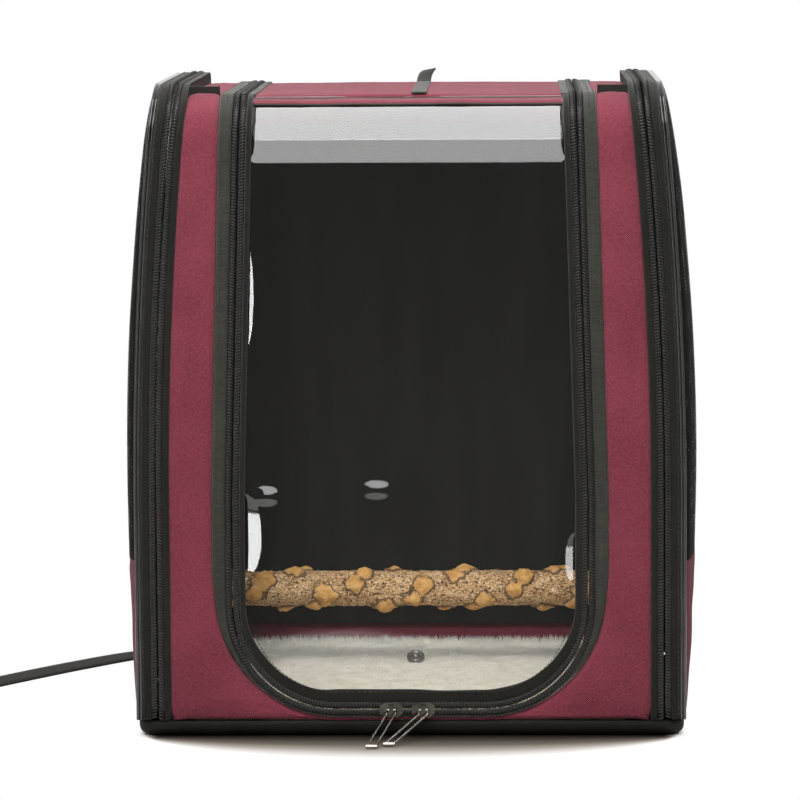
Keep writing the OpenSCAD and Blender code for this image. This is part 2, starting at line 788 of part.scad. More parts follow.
module handle_tabs() {
    ring_t = pin_hl * 0.35;
    patch_h = 2 * handle_r;
    color(TAPE) for (s = [-1, 1]) on_side(s) {
        translate([handle_hw - pin_hl, front, handle_z - patch_h])
            cube([2 * pin_hl, tab_t, 2 * patch_h]);
        for (t = [-1, 1]) translate([handle_hw + t * (pin_hl - ring_t / 2) - ring_t / 2, handle_y,
            handle_z]) rotate([0, 90, 0]) difference() {
                union() {
                    cylinder(r = pin_r + 2, h = ring_t, $fn = 40);
                    translate([-pin_r, front - handle_y + tab_t - 0.1, 0])
                        cube([2 * pin_r, handle_y - front - tab_t + 0.1, ring_t]);
                }
                translate([0, 0, -1]) cylinder(r = pin_r + 0.06, h = ring_t + 2, $fn = 40);
            }
    }
}

// Smooth curve through hand-placed points
function blend_point(a, b, c, d, t) = 0.5 * (2 * b + (c - a) * t
    + (2 * a - 5 * b + 4 * c - d) * t * t + (3 * b - a - 3 * c + d) * t * t * t);
function smooth(p, n) = let (e = len(p) - 1) concat(
    [for (i = [0 : e - 1], j = [0 : n - 1])
        blend_point(p[max(i - 1, 0)], p[i], p[i + 1], p[min(i + 2, e)], j / n)], [p[e]]);
function unit(v) = v / norm(v);
function heading(p, i) = unit(p[min(i + 1, len(p) - 1)] - p[max(i - 1, 0)]);

// Flat strap along a path, with its width along the directions in w
module strap(path, dirs, width, thick, n = 5) {
    p = smooth(path, n);
    w = smooth(dirs, n);
    skin([for (i = [0 : len(p) - 1]) let (a = unit(w[i]) * width / 2,
        b = unit(cross(heading(p, i), w[i])) * thick / 2)
        [p[i] + a + b, p[i] - a + b, p[i] - a - b, p[i] + a - b]]);
}
// Padded strap: the same with a rounded section that narrows at its ends
module padded_strap(path, dirs, width, thick, n = 5) {
    p = smooth(path, n);
    w = smooth(dirs, n);
    e = len(p) - 1;
    skin([for (i = [0 : e]) let (end = pow(sin(180 * (i + 0.7) / (e + 1.4)), 0.3),
        a = unit(w[i]) * width / 2 * end, b = unit(cross(heading(p, i), w[i])) * thick / 2 * end)
        [for (j = [0 : 15]) let (c = cos(22.5 * j), s = sin(22.5 * j))
            p[i] + a * sign(c) * pow(abs(c), 0.6) + b * sign(s) * pow(abs(s), 0.8)]]);
}

back_y = front;
pad_x = 100;
pad_splay = 12;
pad_bow = 38;
pad_high_z = top_h - 49;
pad_low_z = straight_h;
pad_rise = pad_high_z - pad_low_z;
function pad_path(s) = [[s * pad_x, back_y + tab_t + pad_t / 4 + 0.3, pad_high_z],
    [s * (pad_x + pad_splay * 0.1), back_y + pad_bow * 0.68, pad_low_z + pad_rise * 0.82],
    [s * (pad_x + pad_splay * 0.35), back_y + pad_bow, pad_low_z + pad_rise * 0.58],
    [s * (pad_x + pad_splay * 0.7), back_y + pad_bow * 0.95, pad_low_z + pad_rise * 0.31],
    [s * (pad_x + pad_splay), back_y + pad_bow * 0.68, pad_low_z]];
pad_dirs = [[1, 0, 0], [1, 0, 0], [1, 0, 0], [1, 0, 0], [1, 0, 0]];
module shoulder_pad(s) { color(BLACK) padded_strap(pad_path(s), pad_dirs, pad_w, pad_t); }
module shoulder_pad_left() { shoulder_pad(-1); }
module shoulder_pad_right() { shoulder_pad(1); }

lock_w = web_w * 1.4;
lock_h = web_w * 1.2;
lock_t = 5;
lock_x = pad_x + pad_splay + 1;
lock_y = back_y + pad_bow * 0.66;
lock_z = pad_low_z - lock_h / 2 - 1;
tab_x = 122;
tab_z = 26;
module ladder_lock(s) {
    translate([s * lock_x, lock_y, lock_z]) difference() {
        cube([lock_w, lock_t, lock_h], center = true);
        for (i = [-1 : 1]) translate([0, 0, i * lock_h * 0.28])
            cube([web_w + 2, lock_t + 2, lock_h * 0.14], center = true);
    }
}
module ladder_locks() {
    color(GLOSS) for (s = [-1, 1]) ladder_lock(s);
}
module strap_tabs() {
    color(TAPE) for (s = [-1, 1]) on_side(s) translate([0, back_y + tab_t, 0]) {
        translate([tab_x, 0, tab_z - 14]) rotate([90, 0, 0]) linear_extrude(tab_t)
            polygon([[-20, 0], [20, 0], [web_w / 2, 24], [-web_w / 2, 24]]);
        translate([pad_x, 0, pad_high_z - 16]) rotate([90, 0, 0]) linear_extrude(tab_t)
            polygon([[-22, 0], [22, 0], [28, 32], [-28, 32]]);
    }
}

// Lower webbing of each shoulder strap, with its loose end
floor_z = web_t / 2 + 0.1;
module lower_strap(s) {
    strap([[s * lock_x, lock_y - lock_t / 2 - 1.2 - web_t, lock_z + 6], [s * (lock_x + 6), lock_y - 12, lock_z - 40],
        [s * (tab_x - 4), back_y + 8, tab_z + 30],
        [s * tab_x, back_y + tab_t + 0.2 + web_t / 2, tab_z - 8]],
        [[1, 0, 0], [1, 0, 0], [1, 0, 0], [1, 0, 0]], web_w, web_t);
}
tail_left = [[-lock_x, lock_y + 4.4, lock_z - 6], [-lock_x - 1, lock_y + 14, lock_z - 45],
    [-lock_x - 3, lock_y + 20, 48], [-lock_x - 10, lock_y + 23, 14],
    [-lock_x - 30, lock_y + 26, floor_z], [-lock_x - 62, lock_y + 29, floor_z],
    [-206, 180, floor_z], [-250, 133, floor_z], [-291, 80, floor_z], [-322, 38, floor_z]];
tail_left_dirs = [[1, 0, 0], [0.9, 0.35, 0], [0.5, 0.85, 0], [0.1, 1, 0], [0, 1, 0],
    [-0.05, 1, 0], [-0.5, 0.86, 0], [-0.76, 0.65, 0], [-0.79, 0.61, 0], [-0.81, 0.59, 0]];
tail_right = [[lock_x, lock_y + 4.4, lock_z - 6], [lock_x, lock_y + 12, lock_z - 40],
    [lock_x - 2, lock_y + 14, 55], [lock_x - 4, lock_y + 14, 12]];
tail_right_dirs = [[1, 0, 0], [1, 0, 0], [1, 0.05, 0], [1, 0.1, 0]];
module strap_webbing_left() {
    color(TAPE) {
        lower_strap(-1);
        strap(tail_left, tail_left_dirs, web_w, web_t, 4);
    }
}
module strap_webbing_right() {
    color(TAPE) {
        lower_strap(1);
        strap(tail_right, tail_right_dirs, web_w, web_t);
    }
}

base_tray();
base_board();
front_panel();
back_panel();
back_lining();
top_left_panel();
top_right_panel();
rim_left();
rim_right();
rim_tape_left();
rim_tape_right();
rim_coil_left();
rim_coil_right();
window_binding();
window_coil();
top_edge_binding();
sill_left();
sill_right();
perch_branch();
perch_bolts();
perch_washers();
wing_nut_left();
wing_nut_right();
mat_stud();
plush_mat();
mat_snap();
top_flap_panel();
top_flap_tape();
top_flap_coil();
tie_strap();
tie_strap_end();
toy_loop();
window_film();
window_tape();
window_flap_coil();
front_slider_left();
front_slider_right();
front_pull_left();
front_pull_right();
door_mesh_left();
door_mesh_right();
door_skirt_left();
door_skirt_right();
door_piping_left();
door_piping_right();
door_tape_left();
door_tape_right();
side_slider_left();
side_slider_right();
side_pull_left();
side_pull_right();
grab_handle();
handle_sleeve();
handle_tabs();
shoulder_pad_left();
shoulder_pad_right();
strap_webbing_left();
strap_webbing_right();
ladder_locks();
strap_tabs();
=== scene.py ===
"""A soft travel carrier for a small bird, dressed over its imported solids.

Lengths are metres. X runs to the carrier's right, Y to its back and Z up.
"""
import math
from functools import partial

import bpy
import numpy as np
from mathutils import Matrix, Vector


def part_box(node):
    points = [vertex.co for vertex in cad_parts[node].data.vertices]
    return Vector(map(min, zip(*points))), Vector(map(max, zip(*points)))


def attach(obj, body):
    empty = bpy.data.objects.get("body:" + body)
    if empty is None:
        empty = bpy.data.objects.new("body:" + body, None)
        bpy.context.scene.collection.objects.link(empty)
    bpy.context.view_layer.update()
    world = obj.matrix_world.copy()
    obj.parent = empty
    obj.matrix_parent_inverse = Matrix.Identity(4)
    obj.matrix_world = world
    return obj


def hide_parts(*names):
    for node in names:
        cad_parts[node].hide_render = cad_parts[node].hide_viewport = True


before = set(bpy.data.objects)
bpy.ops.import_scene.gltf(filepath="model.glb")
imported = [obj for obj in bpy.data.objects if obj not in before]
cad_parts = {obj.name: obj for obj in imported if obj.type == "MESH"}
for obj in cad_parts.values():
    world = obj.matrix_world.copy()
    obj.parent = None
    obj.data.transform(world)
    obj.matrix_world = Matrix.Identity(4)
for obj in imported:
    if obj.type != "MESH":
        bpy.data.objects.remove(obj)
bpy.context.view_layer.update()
MM = 0.001

# sizes of the carrier, as its solids have them
SIDE, TOP_IN, STRAIGHT, RIM_H = 183 * MM, 15 * MM, 150 * MM, 432 * MM
FRONT, TOP_H, CORNER, RIM_R = 127.5 * MM, 425 * MM, 30 * MM, 37 * MM
BASE_H = 10 * MM
ZIP_TOP, ZIP_LOW, ZIP_Z, ZIP_R = 110.5 * MM, 118 * MM, 18.2 * MM, 69 * MM
K_PANEL = 23 * MM
SEAM = math.radians(78)
SIDES = (-1, "left"), (1, "right")
# thickness of the padded cloth, and the film's edge from the middle of its zip
CLOTH, FILM_EDGE = 1.4 * MM, 4.9 * MM
# size of the slow patches of colour on cloth, and the knit's pitch over its two rows' height
CLOTH_PATCH, ROW_STEP = 50 * MM, 0.577


def side_hw(z):
    """Half-width at height z: upright, then leaning in by the square of the height."""
    return SIDE - TOP_IN * (np.maximum(z - STRAIGHT, 0) / (RIM_H - STRAIGHT)) ** 2


# colours and materials
def srgb(code):
    """Linear colour of an sRGB hex code."""
    c = np.array([int(code[i:i + 2], 16) for i in (0, 2, 4)]) / 255
    lin = np.where(c <= 0.04045, c / 12.92, ((c + 0.055) / 1.055) ** 2.4)
    return (*map(float, lin), 1.0)


def feed(node, inputs):
    """Sets inputs of a node, each to a value, an output, or a node's first output."""
    for key, value in inputs.items():
        if isinstance(value, bpy.types.Node):
            value = value.outputs[0]
        if isinstance(value, bpy.types.NodeSocket):
            node.id_data.links.new(value, node.inputs[key])
        else:
            node.inputs[key].default_value = value


def add(tree, kind, inputs=None, stops=(), **settings):
    """One node with its settings and inputs; a ramp's stops are (place, hex) pairs."""
    node = tree.nodes.new("ShaderNode" + kind)
    for key, value in settings.items():
        setattr(node, key, value)
    feed(node, inputs or {})
    if stops:
        bar = node.color_ramp.elements
        for end, (at, code) in ((bar[0], stops[0]), (bar[1], stops[-1])):
            end.position, end.color = at, srgb(code)
        for at, code in stops[1:-1]:
            bar.new(at).color = srgb(code)
    return node


def material(name, **inputs):
    """A Principled material; inputs are given by socket name with _ for a space."""
    m = bpy.data.materials.new(name)
    m.use_nodes = True
    m.node_tree.nodes.clear()
    shader = add(m.node_tree, "BsdfPrincipled",
                 {k.replace("_", " "): v for k, v in inputs.items()})
    add(m.node_tree, "OutputMaterial", {"Surface": shader})
    return m, m.node_tree, shader


def coords(tree, uv):
    """The piece's own UV map in metres, or Object coordinates folded onto two axes."""
    if uv:
        return add(tree, "UVMap", uv_map="UVMap")
    split = add(tree, "SeparateXYZ", {0: add(tree, "TexCoord").outputs["Object"]})
    x, y, z = split.outputs
    u, v = (add(tree, "Math", {0: y, 1: 0.7, 2: way}, operation="MULTIPLY_ADD")
            for way in (x, z))
    return add(tree, "CombineXYZ", {0: u, 1: v})


def woven(name, dark, light, thread, rough=0.8, sheen=0.12, uv=True, depth=0.6,
          aspect=1.0):
    """Plain weave: two sine bands a thread apart, crossed, over slow patches of colour."""
    m, t, s = material(name, Roughness=rough, Sheen_Weight=sheen, Sheen_Roughness=0.4,
                       Specular_IOR_Level=0.25)
    c = coords(t, uv)
    split = add(t, "SeparateXYZ", {0: c})
    turns = 2 * math.pi / thread
    bands = [add(t, "Math", {0: add(t, "Math", {0: split.outputs[i], 1: k},
                                    operation="MULTIPLY")}, operation="SINE")
             for i, k in ((0, turns), (1, turns / aspect))]
    cross = add(t, "Math", {0: bands[0], 1: bands[1]}, operation="MULTIPLY")
    slub = add(t, "TexNoise", {"Vector": c, "Scale": 0.75 / thread, "Detail": 3.0,
                               "Roughness": 0.75})
    slow = add(t, "TexNoise", {"Vector": c, "Scale": 1 / CLOTH_PATCH, "Detail": 2.0})
    both = add(t, "Math", {0: slow, 1: 0.35, 2: slub}, operation="MULTIPLY_ADD")
    both = add(t, "Math", {0: both, 1: -0.12}, operation="ADD")
    fac = add(t, "Math", {0: cross, 1: 0.3, 2: both}, operation="MULTIPLY_ADD")
    high = add(t, "Math", {0: slub, 1: 0.6, 2: cross}, operation="MULTIPLY_ADD")
    feed(s, {"Base Color": add(t, "ValToRGB", {0: fac}, ((0.3, dark), (0.75, light))),
             "Normal": add(t, "Bump", {"Height": high, "Strength": depth,
                                       "Distance": thread * 0.35})})
    return m


def moulded(name, dark, light, rough, grain=0.0008, depth=0.1, **more):
    """Moulded or cast surface: one colour with a fine grain and slow wear patches."""
    m, t, s = material(name, Roughness=rough, **more)
    c = add(t, "TexCoord").outputs["Object"]
    fine = add(t, "TexNoise", {"Vector": c, "Scale": 1 / grain, "Detail": 2.0})
    slow = add(t, "TexNoise", {"Vector": c, "Scale": 40.0, "Detail": 3.0})
    feed(s, {"Base Color": add(t, "ValToRGB", {0: slow}, ((0.3, dark), (0.7, light))),
             "Normal": add(t, "Bump", {"Height": fine, "Strength": depth,
                                       "Distance": grain * 0.3})})
    return m


def open_mesh(name, dark, light, pitch, hole):
    """Knitted mesh: rows of holes, each a disc about a point of a half-stepped grid."""
    m, t, s = material(name, Roughness=0.85, Specular_IOR_Level=0.12)
    c = add(t, "UVMap", uv_map="UVMap")
    discs = []
    for shift in (0.0, 0.5):
        moved = add(t, "Mapping", {"Vector": c, "Scale": (1 / pitch, ROW_STEP / pitch, 1),
                                   "Location": (shift, shift, 0)})
        cell = add(t, "VectorMath", {0: moved}, operation="FRACTION")
        off = add(t, "VectorMath", {0: cell, 1: (0.5, 0.5, 0)}, operation="SUBTRACT")
        real = add(t, "VectorMath", {0: off, 1: (pitch, pitch / ROW_STEP, 0)},
                   operation="MULTIPLY")
        discs.append(add(t, "VectorMath", {0: real}, operation="LENGTH").outputs["Value"])
    near = add(t, "Math", {0: discs[0], 1: discs[1]}, operation="MINIMUM")
    tone = add(t, "TexNoise", {"Vector": c, "Scale": 30.0, "Detail": 3.0})
    feed(s, {"Alpha": add(t, "Math", {0: near, 1: hole}, operation="GREATER_THAN"),
             "Base Color": add(t, "ValToRGB", {0: tone}, ((0.3, dark), (0.7, light))),
             "Normal": add(t, "Bump", {"Height": near, "Strength": 0.6,
                                       "Distance": 0.0006})})
    return m


def clear_film(name):
    """Soft clear vinyl: thin, so it only reflects by the Fresnel rule and veils a little."""
    m = bpy.data.materials.new(name)
    m.use_nodes = True
    t = m.node_tree
    t.nodes.clear()
    c = add(t, "UVMap", uv_map="UVMap")
    front = add(t, "Math", {0: 1.0, 1: add(t, "NewGeometry").outputs["Backfacing"]},
                operation="SUBTRACT")
    # both faces of the thin sheet mirror, so the front one stands for the two
    twice = add(t, "Math", {0: add(t, "Fresnel", {"IOR": 1.54}), 1: 1.8},
                operation="MULTIPLY", use_clamp=True)
    gloss = add(t, "Math", {0: twice, 1: front}, operation="MULTIPLY")
    haze = add(t, "TexNoise", {"Vector": c, "Scale": 14.0, "Detail": 4.0})
    rough = add(t, "MapRange", {0: haze, 1: 0.3, 2: 0.8, 3: 0.03, 4: 0.09})
    body = add(t, "BsdfPrincipled", {"Base Color": srgb("ffffff"), "Metallic": 1.0,
                                     "Roughness": rough})
    veil = add(t, "BsdfDiffuse", {"Color": srgb("f0efe8")})
    see = add(t, "BsdfTransparent", {"Color": (0.97, 0.97, 0.965, 1)})
    hazy = add(t, "MixShader", {0: 0.003, 1: see, 2: veil})
    add(t, "OutputMaterial", {"Surface": add(t, "MixShader", {0: gloss, 1: hazy, 2: body})})
    return m


def bark(name):
    """Dried branch: brown bark with salt-and-pepper flecks, a ring of painted shade round the
    foot of each knob and an orange-tan scar on it, by the knob height that the mesh carries."""
    m, t, s = material(name, Roughness=0.75, Specular_IOR_Level=0.3)
    c = add(t, "TexCoord").outputs["Object"]
    knob = add(t, "Attribute", attribute_name="knob").outputs["Fac"]
    long = add(t, "Mapping", {"Vector": c, "Scale": (0.5, 1, 1)})
    tone = add(t, "TexNoise", {"Vector": long, "Scale": 240.0, "Detail": 6.0,
                               "Roughness": 0.75})
    fleck = add(t, "TexNoise", {"Vector": long, "Scale": 900.0, "Detail": 2.0})
    spark = add(t, "TexNoise", {"Vector": c, "Scale": 760.0, "Detail": 1.0})
    base = add(t, "ValToRGB", {0: tone}, ((0.3, "8a6545"), (0.45, "b78f63"),
                                          (0.6, "d2ac7c"), (0.75, "e6c89c")))
    scar = add(t, "ValToRGB", {0: tone}, ((0.3, "a87642"), (0.5, "d3a05c"),
                                          (0.7, "e9c184")))
    dots = add(t, "ValToRGB", {0: fleck}, ((0.38, "3a2a20"), (0.47, "ffffff")))
    # ring: painted shade, a dark band where each knob's foot meets the branch, multiplied into
    # the colour
    ring = add(t, "ValToRGB", {0: knob}, ((0.02, "ffffff"), (0.1, "5b4030"),
                                          (0.2, "5b4030"), (0.34, "ffffff")))
    is_knob = add(t, "MapRange", {0: knob, 1: 0.2, 2: 0.45})
    lit = add(t, "MapRange", {0: spark, 1: 0.6, 2: 0.66})
    colour = base
    for fac, over, how in ((0.9, dots, "MULTIPLY"), (lit, srgb("e8d8bc"), "MIX"),
                           (is_knob, scar, "MIX"), (0.75, ring, "MULTIPLY")):
        colour = add(t, "Mix", {0: fac, 6: colour, 7: over}, data_type="RGBA",
                     blend_type=how).outputs[2]
    feed(s, {"Base Color": colour,
             "Normal": add(t, "Bump", {"Height": fleck, "Strength": 0.6,
                                       "Distance": 0.0012})})
    return m


def coil_nylon(name):
    """Zip coil: smooth nylon ribs, wound on a cord that is painted near-black between them
    where the mesh's "cord" attribute is 1: painted shade in the gaps between the ribs."""
    m = moulded(name, "1c1c19", "2c2b27", 0.36, depth=0.05, IOR=1.53)
    t = m.node_tree
    s = next(n for n in t.nodes if n.type == "BSDF_PRINCIPLED")
    rib = s.inputs["Base Color"].links[0].from_socket
    cord = add(t, "Attribute", attribute_name="cord").outputs["Fac"]
    # the cord's near-black is painted shade between the ribs
    feed(s, {"Base Color": add(t, "Mix", {0: cord, 6: rib, 7: srgb("040403")},
                               data_type="RGBA").outputs[2]})
    return m


def coated_lining(name):
    """Coated nylon: smooth and black, with faint smears drawn out upright."""
    m, t, s = material(name, Roughness=0.55, Specular_IOR_Level=0.3)
    tall = add(t, "Mapping", {"Vector": add(t, "TexCoord").outputs["Object"],
                              "Scale": (60, 60, 9)})
    smear = add(t, "TexNoise", {"Vector": tall, "Scale": 1.0, "Detail": 5.0})
    feed(s, {"Base Color": add(t, "ValToRGB", {0: smear}, ((0.35, "0b0b09"),
                                                           (0.75, "1a1b17")))})
    return m


def plush(name):
    """Cream polyester pile: soft, bright at its edges, with slow tufts of tone."""
    m, t, s = material(name, Roughness=0.9, Sheen_Weight=0.5, Sheen_Roughness=0.5,
                       Specular_IOR_Level=0.15, Subsurface_Weight=0.15,
                       Subsurface_Scale=0.004)
    tuft = add(t, "TexNoise", {"Vector": add(t, "TexCoord").outputs["Object"],
                               "Scale": 90.0, "Detail": 5.0, "Roughness": 0.7})
    feed(s, {"Base Color": add(t, "ValToRGB", {0: tuft}, ((0.3, "d4c9b0"), (0.55, "f0e7d2"),
                                                          (0.75, "fdf7e8"))),
             "Normal": add(t, "Bump", {"Height": tuft, "Strength": 0.5,
                                       "Distance": 0.002})})
    return m


# 600-denier polyester oxford, coated behind: matte, with a thread every 0.6 mm, drawn at
# 1.3 mm so that the grain shows
WINE = woven("wine_polyester_oxford", "591e29", "994656", 1.3 * MM)
WINE_CAD = woven("wine_polyester_oxford_plain", "591e29", "994656", 1.3 * MM, uv=False)
# woven polyester zip tape and binding, a rib every 0.9 mm
TAPE = woven("black_woven_tape", "22221e", "42423b", 0.9 * MM, rough=0.85, sheen=0.3)
TAPE_SIDE = woven("black_woven_rim_tape", "10100d", "25241f", 0.9 * MM, rough=0.85,
                  sheen=0.25)
TAPE_CAD = woven("black_woven_tape_plain", "171714", "2f2e28", 0.9 * MM, rough=0.85,
                 sheen=0.25, uv=False)
# nylon monofilament coil: smooth, with a soft highlight on each turn
COIL = coil_nylon("black_nylon_coil")
# extruded PVC piping: glossy, so it takes a long bright line
PIPING = moulded("black_pvc_piping", "0f0f0d", "171714", 0.1, depth=0.01, IOR=1.55,
                 Coat_Weight=0.8, Coat_Roughness=0.05)
# knitted polyester mesh: holes 1.4 mm wide, 2.6 mm apart in a row, rows 2.25 mm apart
MESH = open_mesh("black_knitted_mesh", "121210", "24231f", 2.6 * MM, 0.7 * MM)
FILM = clear_film("clear_soft_vinyl")
# nickel-plated die-cast zinc: bright, with small casting ripples
NICKEL = moulded("nickel_plated_zinc", "8b877d", "b4b0a6", 0.2, grain=0.003, depth=0.15,
                 Metallic=1.0)
# the zip sliders' bodies have a darker gunmetal plating
GUNMETAL = moulded("gunmetal_plated_zinc", "34322e", "67645c", 0.24, grain=0.003, depth=0.15,
                   Metallic=1.0)
# zinc-plated steel: duller and a little blue
STEEL = moulded("zinc_plated_steel", "a3a5a6", "c2c3c2", 0.3, grain=0.0005, depth=0.1,
                Metallic=1.0)
BARK = bark("dried_branch_bark")
# moulded polypropylene tray, spark-eroded grain
TRAY = moulded("black_moulded_tray", "0b0b0a", "131311", 0.6, depth=0.25,
               Specular_IOR_Level=0.25)
# acetal buckles: smooth, satin
ACETAL = moulded("black_acetal", "0f0f0e", "1a1a18", 0.35, depth=0.05)
# closed-cell rubber sleeve
SLEEVE = moulded("black_foam_rubber", "151513", "22211e", 0.8, grain=0.0004, depth=0.3)
# polyester webbing, 25 mm, with a rib every 1.2 mm along it
WEBBING = woven("black_polyester_webbing", "0f0f0d", "211f1c", 1.2 * MM, rough=0.8,
                sheen=0.08, aspect=2.0, depth=0.6)
# spacer mesh over foam on the shoulder pads
SPACER = woven("black_spacer_mesh", "121210", "2a2a27", 2.4 * MM, rough=0.85, depth=0.7)
# coated nylon lining and cream polyester plush
LINING = coated_lining("black_coated_lining")
PLUSH = plush("cream_polyester_plush")


# meshes
def mesh_object(name, verts, quads, mat, uvs=None):
    """An object at the origin from arrays of corners and faces, turned to face outwards
    where its signed volume (sum of a . b x c over triangles) is negative."""
    a, b, c = (verts[quads[:, i]] for i in range(3))
    volume = np.einsum("ij,ij->", a, np.cross(b, c))
    if quads.shape[1] == 4:
        d = verts[quads[:, 3]]
        volume += np.einsum("ij,ij->", a, np.cross(c, d))
    if volume < 0:
        quads = quads[:, ::-1]
        uvs = None if uvs is None else uvs[:, ::-1]
    me = bpy.data.meshes.new(name)
    me.from_pydata(verts.tolist(), [], quads.tolist())
    if uvs is not None:
        me.uv_layers.new(name="UVMap").data.foreach_set("uv", uvs.reshape(-1))
    me.polygons.foreach_set("use_smooth", np.full(len(quads), True))
    me.materials.append(mat)
    me.update()
    ob = bpy.data.objects.new(name, me)
    bpy.context.scene.collection.objects.link(ob)
    return ob


def points(x, y, z):
    """Grid of points from three arrays that broadcast to it."""
    return np.stack(np.broadcast_arrays(x, y, z), -1)


def lengths(p, axis):
    """Running length of a grid of points along one axis, from its middle line."""
    step = np.linalg.norm(np.diff(p, axis=axis), axis=2)
    mid = step[:, step.shape[1] // 2] if axis == 0 else step[step.shape[0] // 2]
    return np.concatenate([[0], np.cumsum(mid)])


def grid_arrays(p, close=False, caps=False):
    """Corners, quads and UVs in metres of a grid of points p[i, j], its second way
    closed into a loop if close, and its two ends closed by a fan about their middles."""
    nu, nv = p.shape[:2]
    i, j = np.meshgrid(np.arange(nu - 1), np.arange(nv if close else nv - 1), indexing="ij")
    k = (j + 1) % nv
    quads = np.stack([i * nv + j, (i + 1) * nv + j, (i + 1) * nv + k, i * nv + k], -1)
    loop = np.concatenate([p, p[:, :1]], 1) if close else p
    u, v = lengths(p, 0), lengths(loop, 1)
    uv = np.stack([np.stack([u[i], v[j]], -1), np.stack([u[i + 1], v[j]], -1),
                   np.stack([u[i + 1], v[j + 1]], -1), np.stack([u[i], v[j + 1]], -1)], 2)
    verts, quads, uv = p.reshape(-1, 3), quads.reshape(-1, 4), uv.reshape(-1, 4, 2)
    if caps and close:
        half = nv // 2
        a = np.arange(half - 1 + nv % 2)
        for row, flip in ((0, 1), (nu - 1, -1)):
            face = row * nv + np.stack([a, a + 1, (nv - 2 - a) % nv, (nv - 1 - a) % nv], -1)
            quads = np.concatenate([quads, face[:, ::flip]])
            flat = verts[face[:, ::flip]][..., :2]
            uv = np.concatenate([uv, flat])
    return verts, quads, uv


def joined(name, grids, mat, closed=True):
    """One object from several grids of points, each an open sheet or a closed tube."""
    verts, quads, uvs, n = [], [], [], 0
    for p in grids:
        v, q, w = grid_arrays(p, closed, closed)
        verts.append(v)
        quads.append(q + n)
        uvs.append(w)
        n += len(v)
    return mesh_object(name, np.concatenate(verts), np.concatenate(quads), mat,
                       np.concatenate(uvs))


def sheet(name, p, mat, wall):
    """One object from a grid of points, with a wall behind its face unless wall is 0."""
    ob = joined(name, [p], mat, closed=False)
    if wall:
        m = ob.modifiers.new("wall", "SOLIDIFY")
        m.thickness, m.offset, m.use_even_offset = wall, -1.0, True
    return ob


def smooth_noise(shape, cells, seed):
    """Slow random heights from -1 to 1: a coarse random grid, blended by cosines."""
    r = np.random.default_rng(seed).uniform(-1, 1, (cells[0] + 2, cells[1] + 2))
    u = np.linspace(0, cells[0], shape[0])[:, None] * np.ones(shape)
    v = np.linspace(0, cells[1], shape[1])[None] * np.ones(shape)
    i, j = u.astype(int), v.astype(int)
    a, b = (1 - np.cos(np.pi * (u - i))) / 2, (1 - np.cos(np.pi * (v - j))) / 2
    return ((r[i, j] * (1 - a) + r[i + 1, j] * a) * (1 - b)
            + (r[i, j + 1] * (1 - a) + r[i + 1, j + 1] * a) * b)


def place(ob, body, replaces=()):
    """Rides a piece on a body, in place of its solids."""
    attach(ob, body)
    if replaces:
        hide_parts(*replaces)
    return ob


# the two routes that the zips follow
def side_view(w, r, top):
    """(y, z) and outward normal at running length w of a side view: straight up the front,
    a quarter round of radius r, level along the top, and the same down the back."""
    up, arc, flat = top - r, r * np.pi / 2, 2 * (FRONT - r)
    total = 2 * up + 2 * arc + flat
    back = w > total / 2
    w = np.where(back, total - w, w)
    a = np.clip((w - up) / r, 0, np.pi / 2)
    y = -(FRONT - r) - r * np.cos(a) + np.maximum(w - up - arc, 0)
    z = np.minimum(w, up) + r * np.sin(a)
    sign = np.where(back, -1.0, 1.0)
    return y * sign, z, -np.cos(a) * sign, np.sin(a)


def on_rim(side, w, k, o):
    """Point on the rim's route at running length w, k in from the side edge, o off it."""
    w, k, o = np.broadcast_arrays(w, k, o)
    y, z, ny, nz = side_view(w, RIM_R, RIM_H)
    z = z + o * nz
    return np.stack([side * (side_hw(z) - k), y + o * ny, z], -1)


RIM_LEN = 2 * (RIM_H - RIM_R) + RIM_R * np.pi + 2 * (FRONT - RIM_R)
ARC_CX, ARC_CZ = ZIP_LOW - ZIP_R, ZIP_Z + ZIP_R
ARC_LEN = ZIP_R * np.pi / 2
# running lengths up the front: to the top's front edge, its back edge and the whole way
EDGE_W = TOP_H - CORNER + CORNER * np.pi / 2
TOP_BACK = TOP_H - CORNER + CORNER * np.pi / 2 + 2 * (FRONT - CORNER)
WHOLE_W = 2 * (TOP_H - CORNER) + CORNER * np.pi + 2 * (FRONT - CORNER)
ZIP_END = ARC_CX + ARC_LEN + TOP_BACK - ARC_CZ
SEAM_W = TOP_H - CORNER + CORNER * SEAM
SEAM_S = ARC_CX + ARC_LEN + SEAM_W - ARC_CZ


def zip_half(w):
    """Half-width of the window zip's middle line at running length w up the side view."""
    z = side_view(w, CORNER, TOP_H)[1]
    return ZIP_TOP + (ZIP_LOW - ZIP_TOP) * np.clip((420 * MM - z) / (260 * MM), 0, 1)


def on_window(s, d, o):
    """Point on the window zip's route: s runs from its bottom middle, to the right if
    positive, along the bottom, round a quarter circle, up and over the top; d is inwards
    from the middle line and o off the fabric."""
    s, d, o = np.broadcast_arrays(s, d, o)
    t, side = np.abs(s), np.where(s < 0, -1.0, 1.0)
    a = np.clip((t - ARC_CX) / ZIP_R, 0, np.pi / 2)
    w = ARC_CZ - ZIP_R * np.cos(a) + np.maximum(t - ARC_CX - ARC_LEN, 0)
    x = np.where(t <= ARC_CX + ARC_LEN, np.minimum(t, ARC_CX) + ZIP_R * np.sin(a),
                 zip_half(w))
    y, z, ny, nz = side_view(w + d * np.cos(a), CORNER, TOP_H)
    return np.stack([side * (x - d * np.sin(a)), y + o * ny, z + o * nz], -1)


